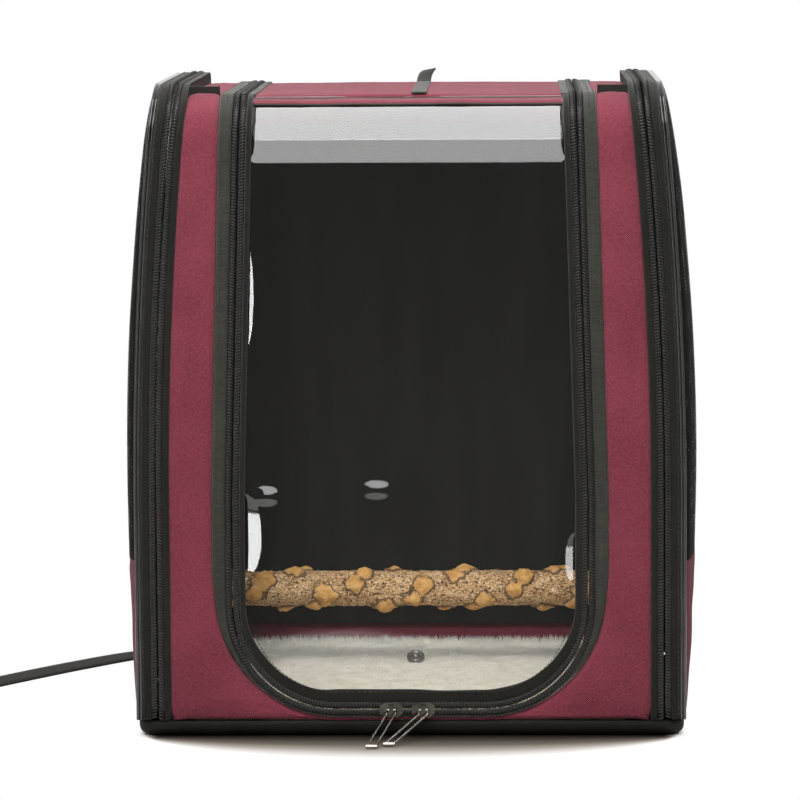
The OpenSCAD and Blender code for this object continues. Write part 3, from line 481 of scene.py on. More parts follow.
def section(*corners):
    """Closed loop of (across, off) points through the corners of a flat strip in MM, each
    corner cut by 0.3 mm, with extra points on the edges longer than 2 mm."""
    c = np.array(corners, float)
    out = []
    for i in range(len(c)):
        a, b = c[i], c[(i + 1) % len(c)]
        long = np.linalg.norm(b - a)
        cut = min(0.3 / long, 0.4)
        out.append(a + (b - a) * np.linspace(cut, 1 - cut, 3 if long > 2 else 2)[:, None])
    return np.concatenate(out) * MM


def disc(cx, cy, r):
    """Closed loop of 12 (across, off) points round a circle, in MM."""
    a = np.arange(12) * 2 * np.pi / 12
    return np.stack([cx + r * np.cos(a), cy + r * np.sin(a)], -1) * MM


def swept(route, along, loop):
    """Grid of points: a loop of (across, off) carried along a route."""
    return route(along[:, None], loop[None, :, 0], loop[None, :, 1])


def tubes(centre, radius, up, sides=6):
    """Arrays of many short tubes: centre is (tube, ring, 3), radius broadcasts to it."""
    n, m = centre.shape[:2]
    along = np.gradient(centre, axis=1)
    along /= np.linalg.norm(along, axis=2, keepdims=True)
    b = np.cross(along, up)
    b /= np.linalg.norm(b, axis=2, keepdims=True) + 1e-12
    c = np.cross(b, along)
    a = (np.arange(sides) + 0.5) * 2 * np.pi / sides
    ring = (np.cos(a)[:, None] * c[:, :, None] + np.sin(a)[:, None] * b[:, :, None])
    p = centre[:, :, None] + ring * np.broadcast_to(radius, (n, m))[:, :, None, None]
    i, j, k = np.meshgrid(np.arange(n), np.arange(m - 1), np.arange(sides), indexing="ij")
    base, l = i * m * sides, (k + 1) % sides
    quads = np.stack([base + j * sides + k, base + j * sides + l,
                      base + (j + 1) * sides + l, base + (j + 1) * sides + k], -1)
    ends = []
    for row, way in ((0, -1), (m - 1, 1)):
        first = np.arange(n)[:, None] * m * sides + row * sides
        for q in range(sides // 2 - 1):
            ends.append((first + np.array([q, q + 1, sides - 2 - q, sides - 1 - q])
                         )[:, ::way])
    return p.reshape(-1, 3), np.concatenate([quads.reshape(-1, 4), *ends])


def coil_row(name, route, along, d0, d1, body, nodes=()):
    """One row of coil teeth: leaning ribs that rise off the tape at d0 and dip into the
    middle at d1, over a thin base strip that carries the painted shade between the ribs."""
    t = np.linspace(0, 1, 5)
    d = (d0 + (d1 - d0) * t) * MM
    o = (RIB_R + (RIB_TOP - 2 * RIB_R) * np.array([0.45, 0.85, 1.0, 0.95, 0.55])) * MM
    s = along[:, None] + RIB_LEAN * MM * (t - 0.5)
    centre = route(s, d[None], o[None])
    up = route(s, d[None], o[None] + MM) - centre
    verts, quads = tubes(centre, RIB_R * MM * np.array([0.75, 1, 1, 1, 0.75]), up)
    lo, hi = min(d0, d1), max(d0, d1)
    strip = section((lo, 0.02), (hi, 0.02), (hi, 0.45), (lo, 0.45))
    run = np.linspace(along[0], along[-1], max(len(along) // 3, 40))
    v2, q2, _ = grid_arrays(swept(route, run, strip), True, True)
    ob = mesh_object(name, np.concatenate([verts, v2]),
                     np.concatenate([quads, q2 + len(verts)]), COIL)
    # cord is 1 on the base strip, so it takes the painted shade between the ribs
    ob.data.attributes.new("cord", "FLOAT", "POINT").data.foreach_set(
        "value", np.repeat([0.0, 1.0], [len(verts), len(v2)]))
    return place(ob, body, nodes)


def stitched(name, route, along, d, o, body):
    """A row of stitches: threads 2.6 mm long that dip into the cloth at both ends."""
    t = np.linspace(-0.5, 0.5, 4)
    s = along[:, None] + t * 2.6 * MM
    sink = (o + np.array([-0.25, 0.12, 0.12, -0.25])) * MM
    centre = route(s, np.full_like(s, d * MM), sink[None])
    up = route(s, np.full_like(s, d * MM), sink[None] + MM) - centre
    verts, quads = tubes(centre, THREAD_R, up)
    return place(mesh_object(name, verts, quads, THREAD), body)


# the coil's ribs: one each 2 mm, 2.3 mm high and 1 mm thick, leaning by 1.3 mm
PITCH, RIB_TOP, RIB_R, RIB_LEAN = 2.0 * MM, 2.3, 0.5, 1.3
# sewing thread, 0.44 mm thick, with a stitch every 3.8 mm
THREAD = moulded("black_polyester_thread", "2a2a26", "4a4942", 0.6, grain=0.0003)
THREAD_R, STITCH = 0.22 * MM, 3.8 * MM
# where the two rows of a zip's coil begin and end, in MM from the middle of the chain
COIL_OUT, COIL_IN = 4.6, 0.35

# the window zip: fixed half on the shell, the other half on the window flap and top flap
whole = np.arange(-ZIP_END + 2 * MM, ZIP_END - 1 * MM, PITCH)
low = whole[np.abs(whole) < SEAM_S - 0.8 * MM]
coil_row("window_coil_fixed", on_window, whole, -COIL_OUT, -COIL_IN, "shell",
         ["window_coil"])
coil_row("window_coil_flap", on_window, low + PITCH / 2, COIL_OUT, COIL_IN, "window_flap",
         ["window_flap_coil"])
for side, q in SIDES:
    row = whole[whole * side > SEAM_S + 1.2 * MM] + PITCH / 2
    coil_row("top_flap_coil_" + q, on_window, row, COIL_OUT, COIL_IN, "top_flap",
             ["top_flap_coil"])

run = np.concatenate([np.linspace(-ZIP_END, -SEAM_S, 90),
                      np.linspace(-SEAM_S, SEAM_S, 520)[1:-1],
                      np.linspace(SEAM_S, ZIP_END, 90)])


def binding_edge(s):
    """Width of the outer binding beside the zip: full up the sides, none round the foot."""
    w = (np.abs(s) - ARC_CX - ARC_LEN * 0.45) / (ARC_LEN * 0.75)
    return 0.9 + 7.7 * np.clip(w, 0, 1) ** 1.2


def wide_strip(along, d_in, widths, rise):
    """Strip off the window's route, from d_in outwards by a width that changes along it,
    rounded at its edge."""
    f = np.array([0.0, 0.25, 0.5, 0.75, 0.93, 1.0, 1.0, 0.93, 0.5, 0.0])
    h = np.array([0.9, 1.0, 1.0, 1.0, 0.85, 0.45, 0.3, 0.05, 0.02, 0.02])
    d = d_in - f[None] * widths[:, None]
    off = rise * h[None] + 0 * d
    return on_window(along[:, None], d * MM, off * MM)


def tape(name, grids, body, nodes, mat=TAPE):
    """Woven tape of closed strips, riding on a body in place of its solids."""
    return place(joined(name, grids, mat), body, nodes)


tape("window_binding_tape", [wide_strip(run, -COIL_OUT, binding_edge(run), 1.5)], "shell",
     ["window_binding"])
# the flap's tape is 4 mm wide up its sides and about twice that, and wavy, at its foot
flap_run = np.linspace(-SEAM_S + 0.4 * MM, SEAM_S - 0.4 * MM, 560)
wide = 4.0 + (4.4 + smooth_noise((len(flap_run), 1), (44, 1), 5)[:, 0]) * np.clip(
    1 - (np.abs(flap_run) - ARC_CX) / ARC_LEN, 0, 1)
grid = on_window(
    flap_run[:, None],
    (COIL_OUT + wide[:, None] * np.array([0, 0.3, 0.6, 0.9, 1, 1, 0.9, 0.5, 0.25, 0])) * MM,
    np.array([0.9, 1.1, 1.1, 1.0, 0.5, 0.15, 0.02, 0.02, 0.02, 0.02])[None] * MM)
tape("window_flap_tape", [grid], "window_flap", ["window_tape"], TAPE_SIDE)
flat = section((4.6, 0.02), (9.6, 0.02), (9.6, 1.1), (4.6, 1.1))
ways = np.linspace(SEAM_S + 0.6 * MM, ZIP_END - 0.3 * MM, 100)
tape("top_flap_tapes", [swept(on_window, side * ways, flat) for side, _ in SIDES],
     "top_flap", ["top_flap_tape"])
at = np.arange(-SEAM_S + 4 * MM, SEAM_S - 4 * MM, STITCH)
stitched("window_flap_stitches", on_window, at[np.abs(at) < ARC_CX + ARC_LEN * 0.8], 11.6,
         1.2, "window_flap")
at = np.arange(-ZIP_END + 5 * MM, ZIP_END - 4 * MM, STITCH)
stitched("window_binding_stitches", on_window, at[np.abs(at) > ARC_CX + ARC_LEN], -11.6,
         1.45, "shell")

# the side zips, from the foot of the front over the top to the foot of the back: their
# teeth start 12 mm up, and the tapes at the base
TEETH_Z = 12 * MM
for side, q in SIDES:
    rim = partial(on_rim, side)
    door = q + "_door"
    teeth = np.arange(TEETH_Z, RIM_LEN - TEETH_Z, PITCH)
    coil_row("rim_coil_teeth_" + q, rim, teeth, 19.2, 14.95, "shell", ["rim_coil_" + q])
    coil_row("door_coil_teeth_" + q, rim, teeth + PITCH / 2, 10.0, 14.25, door)
    w = np.linspace(BASE_H + 1 * MM, RIM_LEN - BASE_H - 1 * MM, 460)
    strip = section((4.1, 0.0), (7, 0.0), (10, 0.0), (10, 1.1), (7, 1.35), (4.1, 1.1))
    tape("door_tape_woven_" + q, [swept(rim, w, strip)], door, ["door_tape_" + q], TAPE_SIDE)
    strip = section((19.2, 0.0), (23.4, 0.0), (23.4, 1.2), (19.2, 1.1))
    tape("rim_tape_woven_" + q, [swept(rim, w, strip)], "shell", ["rim_tape_" + q], TAPE_SIDE)
    cords = [swept(rim, w, disc(1.15, 0.2, 1.15)), swept(rim, w, disc(3.2, 0.0, 1.05)),
             swept(rim, w, section((0.6, -2.4), (3.6, -2.4), (4.0, -0.4), (0.3, -0.4)))]
    place(joined("door_piping_cords_" + q, cords, PIPING), door, ["door_piping_" + q])
    at = np.arange(BASE_H + 5 * MM, RIM_LEN - BASE_H - 5 * MM, STITCH)
    stitched("door_tape_stitches_" + q, rim, at, 5.2, 1.25, door)


# floor, light and camera
def lamp(name, kind, at, to, power, **settings):
    """A lamp at a point, facing another."""
    data = bpy.data.lights.new(name, kind)
    data.energy = power
    for key, value in settings.items():
        setattr(data, key, value)
    ob = bpy.data.objects.new(name, data)
    ob.location = at
    ob.rotation_euler = (Vector(to) - Vector(at)).to_track_quat("-Z", "Y").to_euler()
    scene.collection.objects.link(ob)
    return ob


scene = bpy.context.scene
scene.view_settings.view_transform = "Standard"
world = bpy.data.worlds.new("studio")
scene.world = world
world.use_nodes = True
wt = world.node_tree
wt.nodes.clear()
WHITE = (1, 1, 1, 1)
# white to the eye; to the rest, white behind the carrier and a dim room before it
seen = add(wt, "Background", {"Color": WHITE, "Strength": 1.0})
way = add(wt, "SeparateXYZ", {0: add(wt, "NewGeometry").outputs["Incoming"]})
tone = add(wt, "MapRange", {0: way.outputs[1], 1: 0.3, 2: -0.3, 3: 0.06, 4: 0.8},
           interpolation_type="SMOOTHSTEP")
room = add(wt, "Background", {"Color": WHITE, "Strength": tone})
pick = add(wt, "MixShader", {0: add(wt, "LightPath").outputs["Is Camera Ray"],
                             1: room, 2: seen})
add(wt, "OutputWorld", {"Surface": pick})


def pale_floor(name):
    """Pale floor: its colour is a shade painted by the distance from the base, and past
    that it is plain white to the eye, so a cast shadow shows only on the painted part.

    The shade reaches SHADE ahead of and behind the base's middle, less towards its corners
    by the power 0.7 of a parabola, and BESIDE at its sides; gap is the distance in units
    of that reach."""
    m, t, s = material(name, Roughness=0.9, Specular_IOR_Level=0.0)
    spot = add(t, "SeparateXYZ", {0: add(t, "TexCoord").outputs["Object"]})

    def chain(value, *steps):
        """The value after each (operation, number or two) in turn."""
        for kind, *rest in steps:
            value = add(t, "Math", {0: value, **dict(enumerate(rest, 1))}, operation=kind)
        return value

    x_off, y_off = (chain(spot.outputs[i], ("ABSOLUTE",)) for i in (0, 1))
    reach = chain(x_off, ("DIVIDE", SHADE_X), ("POWER", 2.0), ("MULTIPLY_ADD", -1.0, 1.0),
                  ("MAXIMUM", 0.02), ("POWER", 0.7), ("MULTIPLY", SHADE))
    ahead = chain(y_off, ("SUBTRACT", FRONT), ("MAXIMUM", 0.0), ("DIVIDE", reach))
    beside = chain(x_off, ("SUBTRACT", SHADE_X - 10 * MM), ("MAXIMUM", 0.0),
                   ("DIVIDE", BESIDE))
    gap = add(t, "VectorMath", {0: add(t, "CombineXYZ", {0: beside, 1: ahead})},
              operation="LENGTH").outputs["Value"]
    far = add(t, "MapRange", {0: gap, 1: 0.9, 2: 1.5}, interpolation_type="SMOOTHSTEP")
    close = add(t, "ValToRGB", {0: gap}, ((0.0, "24211e"), (0.15, "3e3935"),
                                          (0.4, "6b645c"), (0.62, "a39d95"),
                                          (0.8, "d3cfc9"), (1.0, "f4f4f2")))
    tint = add(t, "Mix", {0: add(t, "LightPath").outputs["Is Diffuse Ray"], 6: close,
                          7: srgb("706e6b")}, data_type="RGBA")
    feed(s, {"Base Color": tint.outputs[2]})
    eye = chain(add(t, "LightPath").outputs["Is Camera Ray"], ("MULTIPLY", far))
    glow = add(t, "Emission", {"Color": WHITE, "Strength": 1.0})
    out = next(n for n in t.nodes if n.type == "OUTPUT_MATERIAL")
    feed(out, {0: add(t, "MixShader", {0: eye, 1: s, 2: glow})})
    return m


SHADE, SHADE_X, BESIDE = 78 * MM, 178 * MM, 10.5 * MM
gx = np.array([-30, -8, -2, -0.5, 0, 0.5, 2, 8, 30])[:, None]
gy = np.array([-0.5, 0, 0.5, 2, 8, 40])[None]
ground = points(gx, gy, -0.5 * MM)
sheet("floor", ground, pale_floor("pale_floor"), 0)

# a tall strip behind the camera and one overhead, which the clear window mirrors at its
# top, two low strips that it mirrors at its sides, and a softbox on either side
for name, at, to, size, ratio, power in (
        ("front_strip", (-0.05, -3.4, 1.55), (0, -0.13, 0.4), 1.1, 1.82, 26),
        ("top_strip", (-0.03, -0.69, 1.58), (0, -0.13, 0.4), 0.6, 2.5, 20),
        ("left_strip", (-1.75, -2.6, -0.05), (0, -0.13, 0.3), 0.3, 4.0, 11),
        ("right_strip", (1.75, -2.6, -0.05), (0, -0.13, 0.3), 0.3, 4.0, 6),
        ("left_softbox", (-1.2, -1.0, 1.5), (0, 0, 0.35), 0.7, 1.0, 5),
        ("right_softbox", (1.3, -0.9, 1.6), (0, 0, 0.35), 0.7, 1.0, 3)):
    lamp(name, "AREA", at, to, power, shape="RECTANGLE", size=size, size_y=size * ratio)

# one spot through the window for the perch and the mat, and one for the upper half, both
# left out of the mirrored lamps
for name, at, to, cone, power, size in (
        ("window_spot", (0.1, -2.3, 0.95), (0, -0.02, 0.055), 6.2, 112, 0.12),
        ("upper_spot", (-0.25, -2.0, 2.2), (0, -0.1, 0.52), 22, 190, 0.25)):
    lamp(name, "SPOT", at, to, power, spot_size=math.radians(cone), spot_blend=1.0,
         shadow_soft_size=size).visible_glossy = False

# the photograph's viewpoint: EYE metres in front of the front's foot, and so much above it
EYE, EYE_Z = 2.8, 0.5475
yaw, down, roll = math.radians(1.5), math.radians(6.57), math.radians(0.35)
lens = bpy.data.cameras.new("photo_camera")
lens.lens, lens.sensor_width = 192.2, 36
lens.clip_end = 100
camera = bpy.data.objects.new("photo_camera", lens)
camera.matrix_world = (
    Matrix.Translation((EYE * math.sin(yaw) - 0.006, -0.1275 - EYE * math.cos(yaw), EYE_Z))
    @ Matrix.Rotation(yaw, 4, "Z") @ Matrix.Rotation(math.pi / 2 - down, 4, "X")
    @ Matrix.Rotation(-roll, 4, "Z"))
scene.collection.objects.link(camera)
scene.camera = camera

# finishes of the solids that stay
FINISH = {
    WINE_CAD: "front_panel back_panel top_left_panel top_right_panel top_flap_panel",
    TAPE_CAD: "rim_left rim_right rim_tape_left rim_tape_right window_binding "
              "top_edge_binding tie_strap tie_strap_end window_tape top_flap_tape "
              "door_tape_left door_tape_right handle_tabs strap_tabs",
    COIL: "rim_coil_left rim_coil_right window_coil top_flap_coil window_flap_coil",
    PIPING: "door_piping_left door_piping_right",
    NICKEL: "mat_snap front_pull_left front_pull_right side_pull_left side_pull_right",
    GUNMETAL: "front_slider_left front_slider_right side_slider_left side_slider_right",
    STEEL: "perch_bolts perch_washers wing_nut_left wing_nut_right mat_stud",
    TRAY: "base_tray",
    LINING: "base_board back_lining sill_left sill_right toy_loop door_skirt_left "
            "door_skirt_right door_mesh_left door_mesh_right",
    BARK: "perch_branch",
    FILM: "window_film",
    PLUSH: "plush_mat",
    SLEEVE: "handle_sleeve",
    WEBBING: "grab_handle strap_webbing_left strap_webbing_right",
    SPACER: "shoulder_pad_left shoulder_pad_right",
    ACETAL: "ladder_locks",
}
for mat, names in FINISH.items():
    for name in names.split():
        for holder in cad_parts[name].material_slots:
            holder.material = mat

# cloth panels
def flat_uv(ob):
    """Maps a panel's weave as it was cut: across by x, along by height and depth."""
    me = ob.data
    p = np.empty(len(me.vertices) * 3)
    me.vertices.foreach_get("co", p)
    p = p.reshape(-1, 3)
    at = np.empty(len(me.loops), int)
    me.loops.foreach_get("vertex_index", at)
    along = p[:, 2] + np.sign(p[:, 1].mean()) * -(p[:, 1] - np.sign(p[:, 1].mean()) * FRONT)
    uv = np.stack([p[:, 0], along], -1)[at]
    layer = me.uv_layers.get("UVMap") or me.uv_layers.new(name="UVMap")
    layer.data.foreach_set("uv", uv.reshape(-1))
    return ob


def fill_to(t, full):
    """Swell of stuffed cloth across a panel: none at its seams, quick to rise."""
    return full * np.clip(np.sin(np.pi * np.clip(t, 0, 1)), 0, 1) ** 0.6


def front_cloth():
    """The front: from the window's binding out to the side zips and down to the tray. Its
    inner edge runs along the zip's route and its outer edge along the frame of the front,
    at s to either side, with straight lines between, swollen and puckered."""
    corner_a = np.arctan2(float(side_hw(0)) - K_PANEL - ARC_CX, ARC_CZ - BASE_H)
    bend = np.concatenate([np.linspace(0, corner_a, 26),
                           np.linspace(corner_a, np.pi / 2, 16)[1:]])
    t = np.concatenate([np.linspace(0, ARC_CX, 14)[:-1], ARC_CX + ZIP_R * bend,
                        ARC_CX + ARC_LEN + np.linspace(0, TOP_BACK - ARC_CZ, 110)[1:]])
    t = t[t < ARC_CX + ARC_LEN + EDGE_W + 0.5 * MM - ARC_CZ]
    s = np.concatenate([-t[:0:-1], t])
    a = np.clip((np.abs(s) - ARC_CX) / ZIP_R, 0, np.pi / 2)
    w_in = ARC_CZ - ZIP_R * np.cos(a) + np.maximum(np.abs(s) - ARC_CX - ARC_LEN, 0)
    edge = side_hw(side_view(w_in, CORNER, TOP_H)[1]) - K_PANEL + 0.6 * MM
    low_x = np.where(a > 0, ARC_CX + np.tan(a) * (ARC_CZ - BASE_H - 1 * MM), np.abs(s))
    out_x = np.where(np.abs(s) < ARC_CX, np.abs(s), np.minimum(low_x, edge))
    drop = (side_hw(0) - K_PANEL - ARC_CX) / np.maximum(np.tan(a), 1e-6)
    out_w = np.where(np.abs(s) < ARC_CX, BASE_H + 1 * MM,
                     np.where(a < corner_a, BASE_H + 1 * MM, ARC_CZ - drop))
    out_w = np.where(a >= np.pi / 2, w_in, out_w)
    f = np.linspace(0, 1, 22)[None]
    d0 = -(5.2 + binding_edge(s) * 0.9)[:, None] * MM
    inner_x = np.where(np.abs(s) <= ARC_CX + ARC_LEN,
                       np.minimum(np.abs(s), ARC_CX) + ZIP_R * np.sin(a), zip_half(w_in))
    ix = inner_x[:, None] - d0 * np.sin(a)[:, None]
    iw = w_in[:, None] + d0 * np.cos(a)[:, None]
    px = ix + (out_x[:, None] - ix) * f
    pw = iw + (out_w[:, None] - iw) * f
    wide = np.hypot(out_x[:, None] - ix, out_w[:, None] - iw)
    puff = fill_to(f, np.minimum(0.09 * wide, 3.8 * MM))
    puckers = 0.35 * MM * smooth_noise(puff.shape, (70, 6), 12) * np.sin(np.pi * f)
    puff = puff * (1 + 0.25 * smooth_noise(puff.shape, (34, 3), 11)) + puckers
    # and drawn down in a groove 1.3 mm deep along its seams
    near = np.minimum(f, 1 - f) * wide
    puff = puff - 1.3 * MM * np.exp(-(near / (1.6 * MM)) ** 2)
    y, z, ny, nz = side_view(pw, CORNER, TOP_H)
    return np.stack([np.sign(s + 1e-9)[:, None] * px, y + puff * ny, z + puff * nz], -1)


place(flat_uv(sheet("front_fabric", front_cloth(), WINE, CLOTH)), "shell", ["front_panel"])


def rect_panel(name, w0, w1, x0, x1, bulge, seed, body, node, rows, cols):
    """Soft panel between running lengths w0 and w1 and between two edges x(z)."""
    w, f = np.linspace(w0, w1, rows)[:, None], np.linspace(0, 1, cols)[None]
    y, z, ny, nz = side_view(w, CORNER, TOP_H)
    a, b = x0(z), x1(z)
    g = (w - w0) / (w1 - w0)
    puff = fill_to(f, 1.0) * fill_to(g, 1.0) * bulge
    puff = puff * (1 + 0.3 * smooth_noise(puff.shape, (6, 5), seed))
    puff += 0.4 * MM * smooth_noise(puff.shape, (18, 14), seed + 1) * np.sin(np.pi * f)
    p = points(a + (b - a) * f, y + puff * ny, z + puff * nz)
    place(flat_uv(sheet(name, p, WINE, CLOTH)), body, [node])


def outer(z):
    """Half-width of the cloth at height z, out to the side zips."""
    return side_hw(z) - K_PANEL + 0.5 * MM


rect_panel("back_fabric", WHOLE_W - EDGE_W, WHOLE_W - BASE_H - 1 * MM,
           lambda z: -outer(z), outer, 2.6 * MM, 21, "shell", "back_panel", 90, 40)
for side, q in SIDES:
    rect_panel("top_%s_fabric" % q, EDGE_W - 0.4 * MM, WHOLE_W - EDGE_W + 0.4 * MM,
               lambda z, k=side: k * (ZIP_TOP + 5 * MM), lambda z, k=side: k * outer(z),
               2.0 * MM, 23 + side, "shell", "top_%s_panel" % q, 50, 16)
rect_panel("top_flap_fabric", SEAM_W + 0.6 * MM, WHOLE_W - EDGE_W + 3 * MM,
           lambda z: -(ZIP_TOP - 5 * MM), lambda z: ZIP_TOP - 5 * MM,
           1.6 * MM, 31, "top_flap", "top_flap_panel", 56, 44)

# the hem of the top flap, behind the film, and the tape on its edge
hem = np.linspace(SEAM_W - 8 * MM, SEAM_W + 1.5 * MM, 12)[:, None]
for name, w_hem, deep, mat in (
        ("top_flap_hem", hem, -1.6, WINE),
        ("top_flap_hem_tape", hem[:1] + np.linspace(-1.6, 1.2, 6)[:, None] * MM, -1.9, TAPE)):
    y, z, ny, nz = side_view(w_hem, CORNER, TOP_H)
    x = (ZIP_TOP - 6 * MM) * np.linspace(-1, 1, 60)[None]
    deep = deep * MM + 0.3 * MM * smooth_noise((len(w_hem), 60), (1, 9), 37)
    p = points(x, y + deep * ny, z + deep * nz)
    place(sheet(name, p, mat, 0.8 * MM), "top_flap")

# the film is drawn in at its sides: lens-shaped flanks of one slope, by their side, height,
# width and half length in MM and their slope
FLANKS = ((-1, 353, 3.5, 11, 0.27), (-1, 295, 5.5, 36, 0.27), (-1, 134, 9.5, 27, 0.27),
          (1, 118, 5, 16, 0.296))
# and it has a few dents, by their middle, half width, half height and depth in MM
DENTS = ((-95, 161, 9, 5, 1.6), (-22, 165, 11, 5, 1.4), (60, 300, 40, 60, 0.5),
         (-40, 80, 40, 30, 0.5))


def film_face():
    """The clear window: across by a sine, so that its points crowd at its edges, and up the
    side view, with a slow wave, the flanks and bell-shaped dents off its face."""
    w = np.concatenate([ARC_CZ - (ZIP_R - FILM_EDGE) * np.cos(np.linspace(0.04, np.pi / 2, 44)),
                        np.linspace(ARC_CZ, SEAM_W - 0.4 * MM, 220)[1:]])[:, None]
    y, z, ny, nz = side_view(w, CORNER, TOP_H)
    reach = np.where(w < ARC_CZ, ARC_CX + np.sqrt(np.maximum(
        (ZIP_R - FILM_EDGE) ** 2 - (ARC_CZ - w) ** 2, 0)), zip_half(w) - FILM_EDGE)
    f = np.sin(np.linspace(-np.pi / 2, np.pi / 2, 181))[None]
    x = reach * f
    in_from = reach - np.abs(x)
    # away from its edges it sags off the corner of the frame, on a wider circle
    z0 = 378.4 * MM
    end_y, end_z = CORNER * (1 - math.cos(SEAM)), TOP_H - CORNER + CORNER * math.sin(SEAM)
    sag_r = ((end_z - z0) ** 2 + end_y ** 2) / (2 * end_y)
    wide_y = -FRONT + sag_r - np.sqrt(sag_r ** 2 - np.clip(z - z0, 0, end_z - z0) ** 2)
    hold = np.clip(in_from / (6 * MM), 0, 1)
    sag = (wide_y - y) * hold * hold * (3 - 2 * hold)
    off = 0.05 * MM * smooth_noise(x.shape, (9, 5), 41) * np.clip(in_from / (20 * MM), 0, 1)
    for side, cz, wide, rz, slope in FLANKS:
        lens = wide * MM * np.sqrt(np.clip(1 - ((z - cz * MM) / (rz * MM)) ** 2, 0, 1))
        off -= slope * np.clip(side * x - (107 * MM - lens), 0, None) * (lens > 0)
    for cx, cz, rx, rz, deep in DENTS:
        off += deep * MM * np.exp(-((x - cx * MM) / (rx * MM)) ** 2
                                  - ((z - cz * MM) / (rz * MM)) ** 2)
    off = off * np.clip(in_from / (3 * MM), 0, 1) - 0.15 * MM
    return points(x, y + sag + off * ny, z + off * nz)


place(sheet("clear_window", film_face(), FILM, 0.6 * MM), "window_flap", ["window_film"])

# the side doors: swollen mesh over a padded skirt
DOOR_Z, SKIRT_H, BULGE, SKIN_IN = 11 * MM, 118 * MM, 12 * MM, 2.5 * MM


def door_grid(z0, z1, rows, cols, seed, soft):
    """Door skin: it swells out by the power 0.4 of a cosine across and a sine up."""
    z = z0 + (z1 - z0) * np.sin(np.linspace(0, np.pi / 2, rows))[:, None]
    u = np.sin(np.linspace(-np.pi / 2, np.pi / 2, cols))[None] * 0.999
    r = RIM_R - SKIN_IN
    up = np.maximum(z - (RIM_H - RIM_R), 0)
    half = FRONT - RIM_R + np.sqrt(np.maximum(r * r - up * up, 0))
    grow = np.clip(np.cos(np.pi / 2 * u), 0, 1) ** 0.4
    rise = np.clip(np.sin(np.pi * (z - DOOR_Z) / (RIM_H - DOOR_Z)), 0, 1) ** 0.4
    x = side_hw(z) - 0.8 * MM + BULGE * grow * rise
    x = x + soft * smooth_noise(x.shape, (7, 5), seed) * grow * rise
    return points(x, half * u, z)


for side, q in SIDES:
    flip = np.array([side, 1, 1])
    g = door_grid(SKIRT_H - 1 * MM, RIM_H - SKIN_IN - 0.6 * MM, 60, 50, 50 + side, 0.5 * MM)
    place(sheet("door_net_" + q, g * flip, MESH, 0.7 * MM), q + "_door",
          ["door_mesh_" + q])
    g = door_grid(DOOR_Z, SKIRT_H, 26, 50, 54 + side, 0.8 * MM)
    place(sheet("door_skirt_cloth_" + q, g * flip, WINE, CLOTH), q + "_door",
          ["door_skirt_" + q])

# padded things: size of the remesh, and the pressure and frames of the simulation
VOXEL, PRESSURE, LAST_FRAME = 4.5 * MM, 3.0, 20


def settled(ob):
    """The object as its modifiers leave it."""
    return ob.evaluated_get(bpy.context.evaluated_depsgraph_get())


def puffed(ob, cap):
    """Stuffs a closed piece: an even remesh, then a cloth that its filling presses out,
    each point moving by cap at most, then one subdivision."""
    mesh = ob.modifiers.new("even", "REMESH")
    mesh.mode, mesh.voxel_size, mesh.use_smooth_shade = "VOXEL", VOXEL, True
    mat = ob.data.materials[0]
    ob.data = bpy.data.meshes.new_from_object(settled(ob))
    ob.modifiers.clear()
    ob.data.materials.clear()
    ob.data.materials.append(mat)
    n = len(ob.data.vertices)
    rest = np.empty(n * 3)
    ob.data.vertices.foreach_get("co", rest)
    cloth = ob.modifiers.new("stuffing", "CLOTH")
    cloth.settings.use_pressure = True
    cloth.settings.uniform_pressure_force = PRESSURE
    cloth.settings.effector_weights.gravity = 0
    cloth.settings.quality = 6
    cloth.settings.mass = 0.3
    cloth.settings.tension_stiffness = cloth.settings.compression_stiffness = 15
    cloth.settings.bending_stiffness = 0.5
    cloth.point_cache.frame_start, cloth.point_cache.frame_end = 1, LAST_FRAME
    for frame_no in range(1, LAST_FRAME + 1):
        scene.frame_set(frame_no)
    moved = np.empty(n * 3)
    settled(ob).data.vertices.foreach_get("co", moved)
    scene.frame_set(1)
    ob.modifiers.clear()
    step = (moved - rest).reshape(-1, 3)
    far = np.linalg.norm(step, axis=1, keepdims=True)
    step *= np.minimum(1, cap / np.maximum(far, 1e-9))
    ob.data.vertices.foreach_set("co", (rest.reshape(-1, 3) + step).reshape(-1))
    ob.data.update()
    soft = ob.modifiers.new("even_again", "SUBSURF")
    soft.levels = soft.render_levels = 1
    return ob


def turned(profile, n=48):
    """Grid of a profile of (radius, height) points in MM, turned about the Z axis."""
    p = np.array(profile, float) * MM
    a = np.arange(n) * 2 * np.pi / n
    return np.stack([p[:, :1] * np.cos(a), p[:, :1] * np.sin(a),
                     p[:, 1:] * np.ones(n)], -1)


# the mat: a fleece pad with a dimple at its snap, and its pile
MAT_X, MAT_Y, DIMPLE = 155.5 * MM, 118 * MM, 3.2 * MM
STUD = np.array([0, 25 * MM])
TUFTS, TUFT_R = 38000, 0.8 * MM


def mat_height(x, y):
    """Height of the mat's face, from 0 to 1: full in the middle and round at its edges by
    the sixth power. And the depth of the snap's dimple there, a bell 13 mm wide."""
    u, v = np.abs(x) / MAT_X, np.abs(y) / MAT_Y
    full = 0.42 + 0.58 * np.sqrt(np.maximum((1 - u ** 6) * (1 - v ** 6), 0))
    near = np.hypot(x - STUD[0], y - STUD[1])
    return full, np.exp(-(near / (13 * MM)) ** 2)


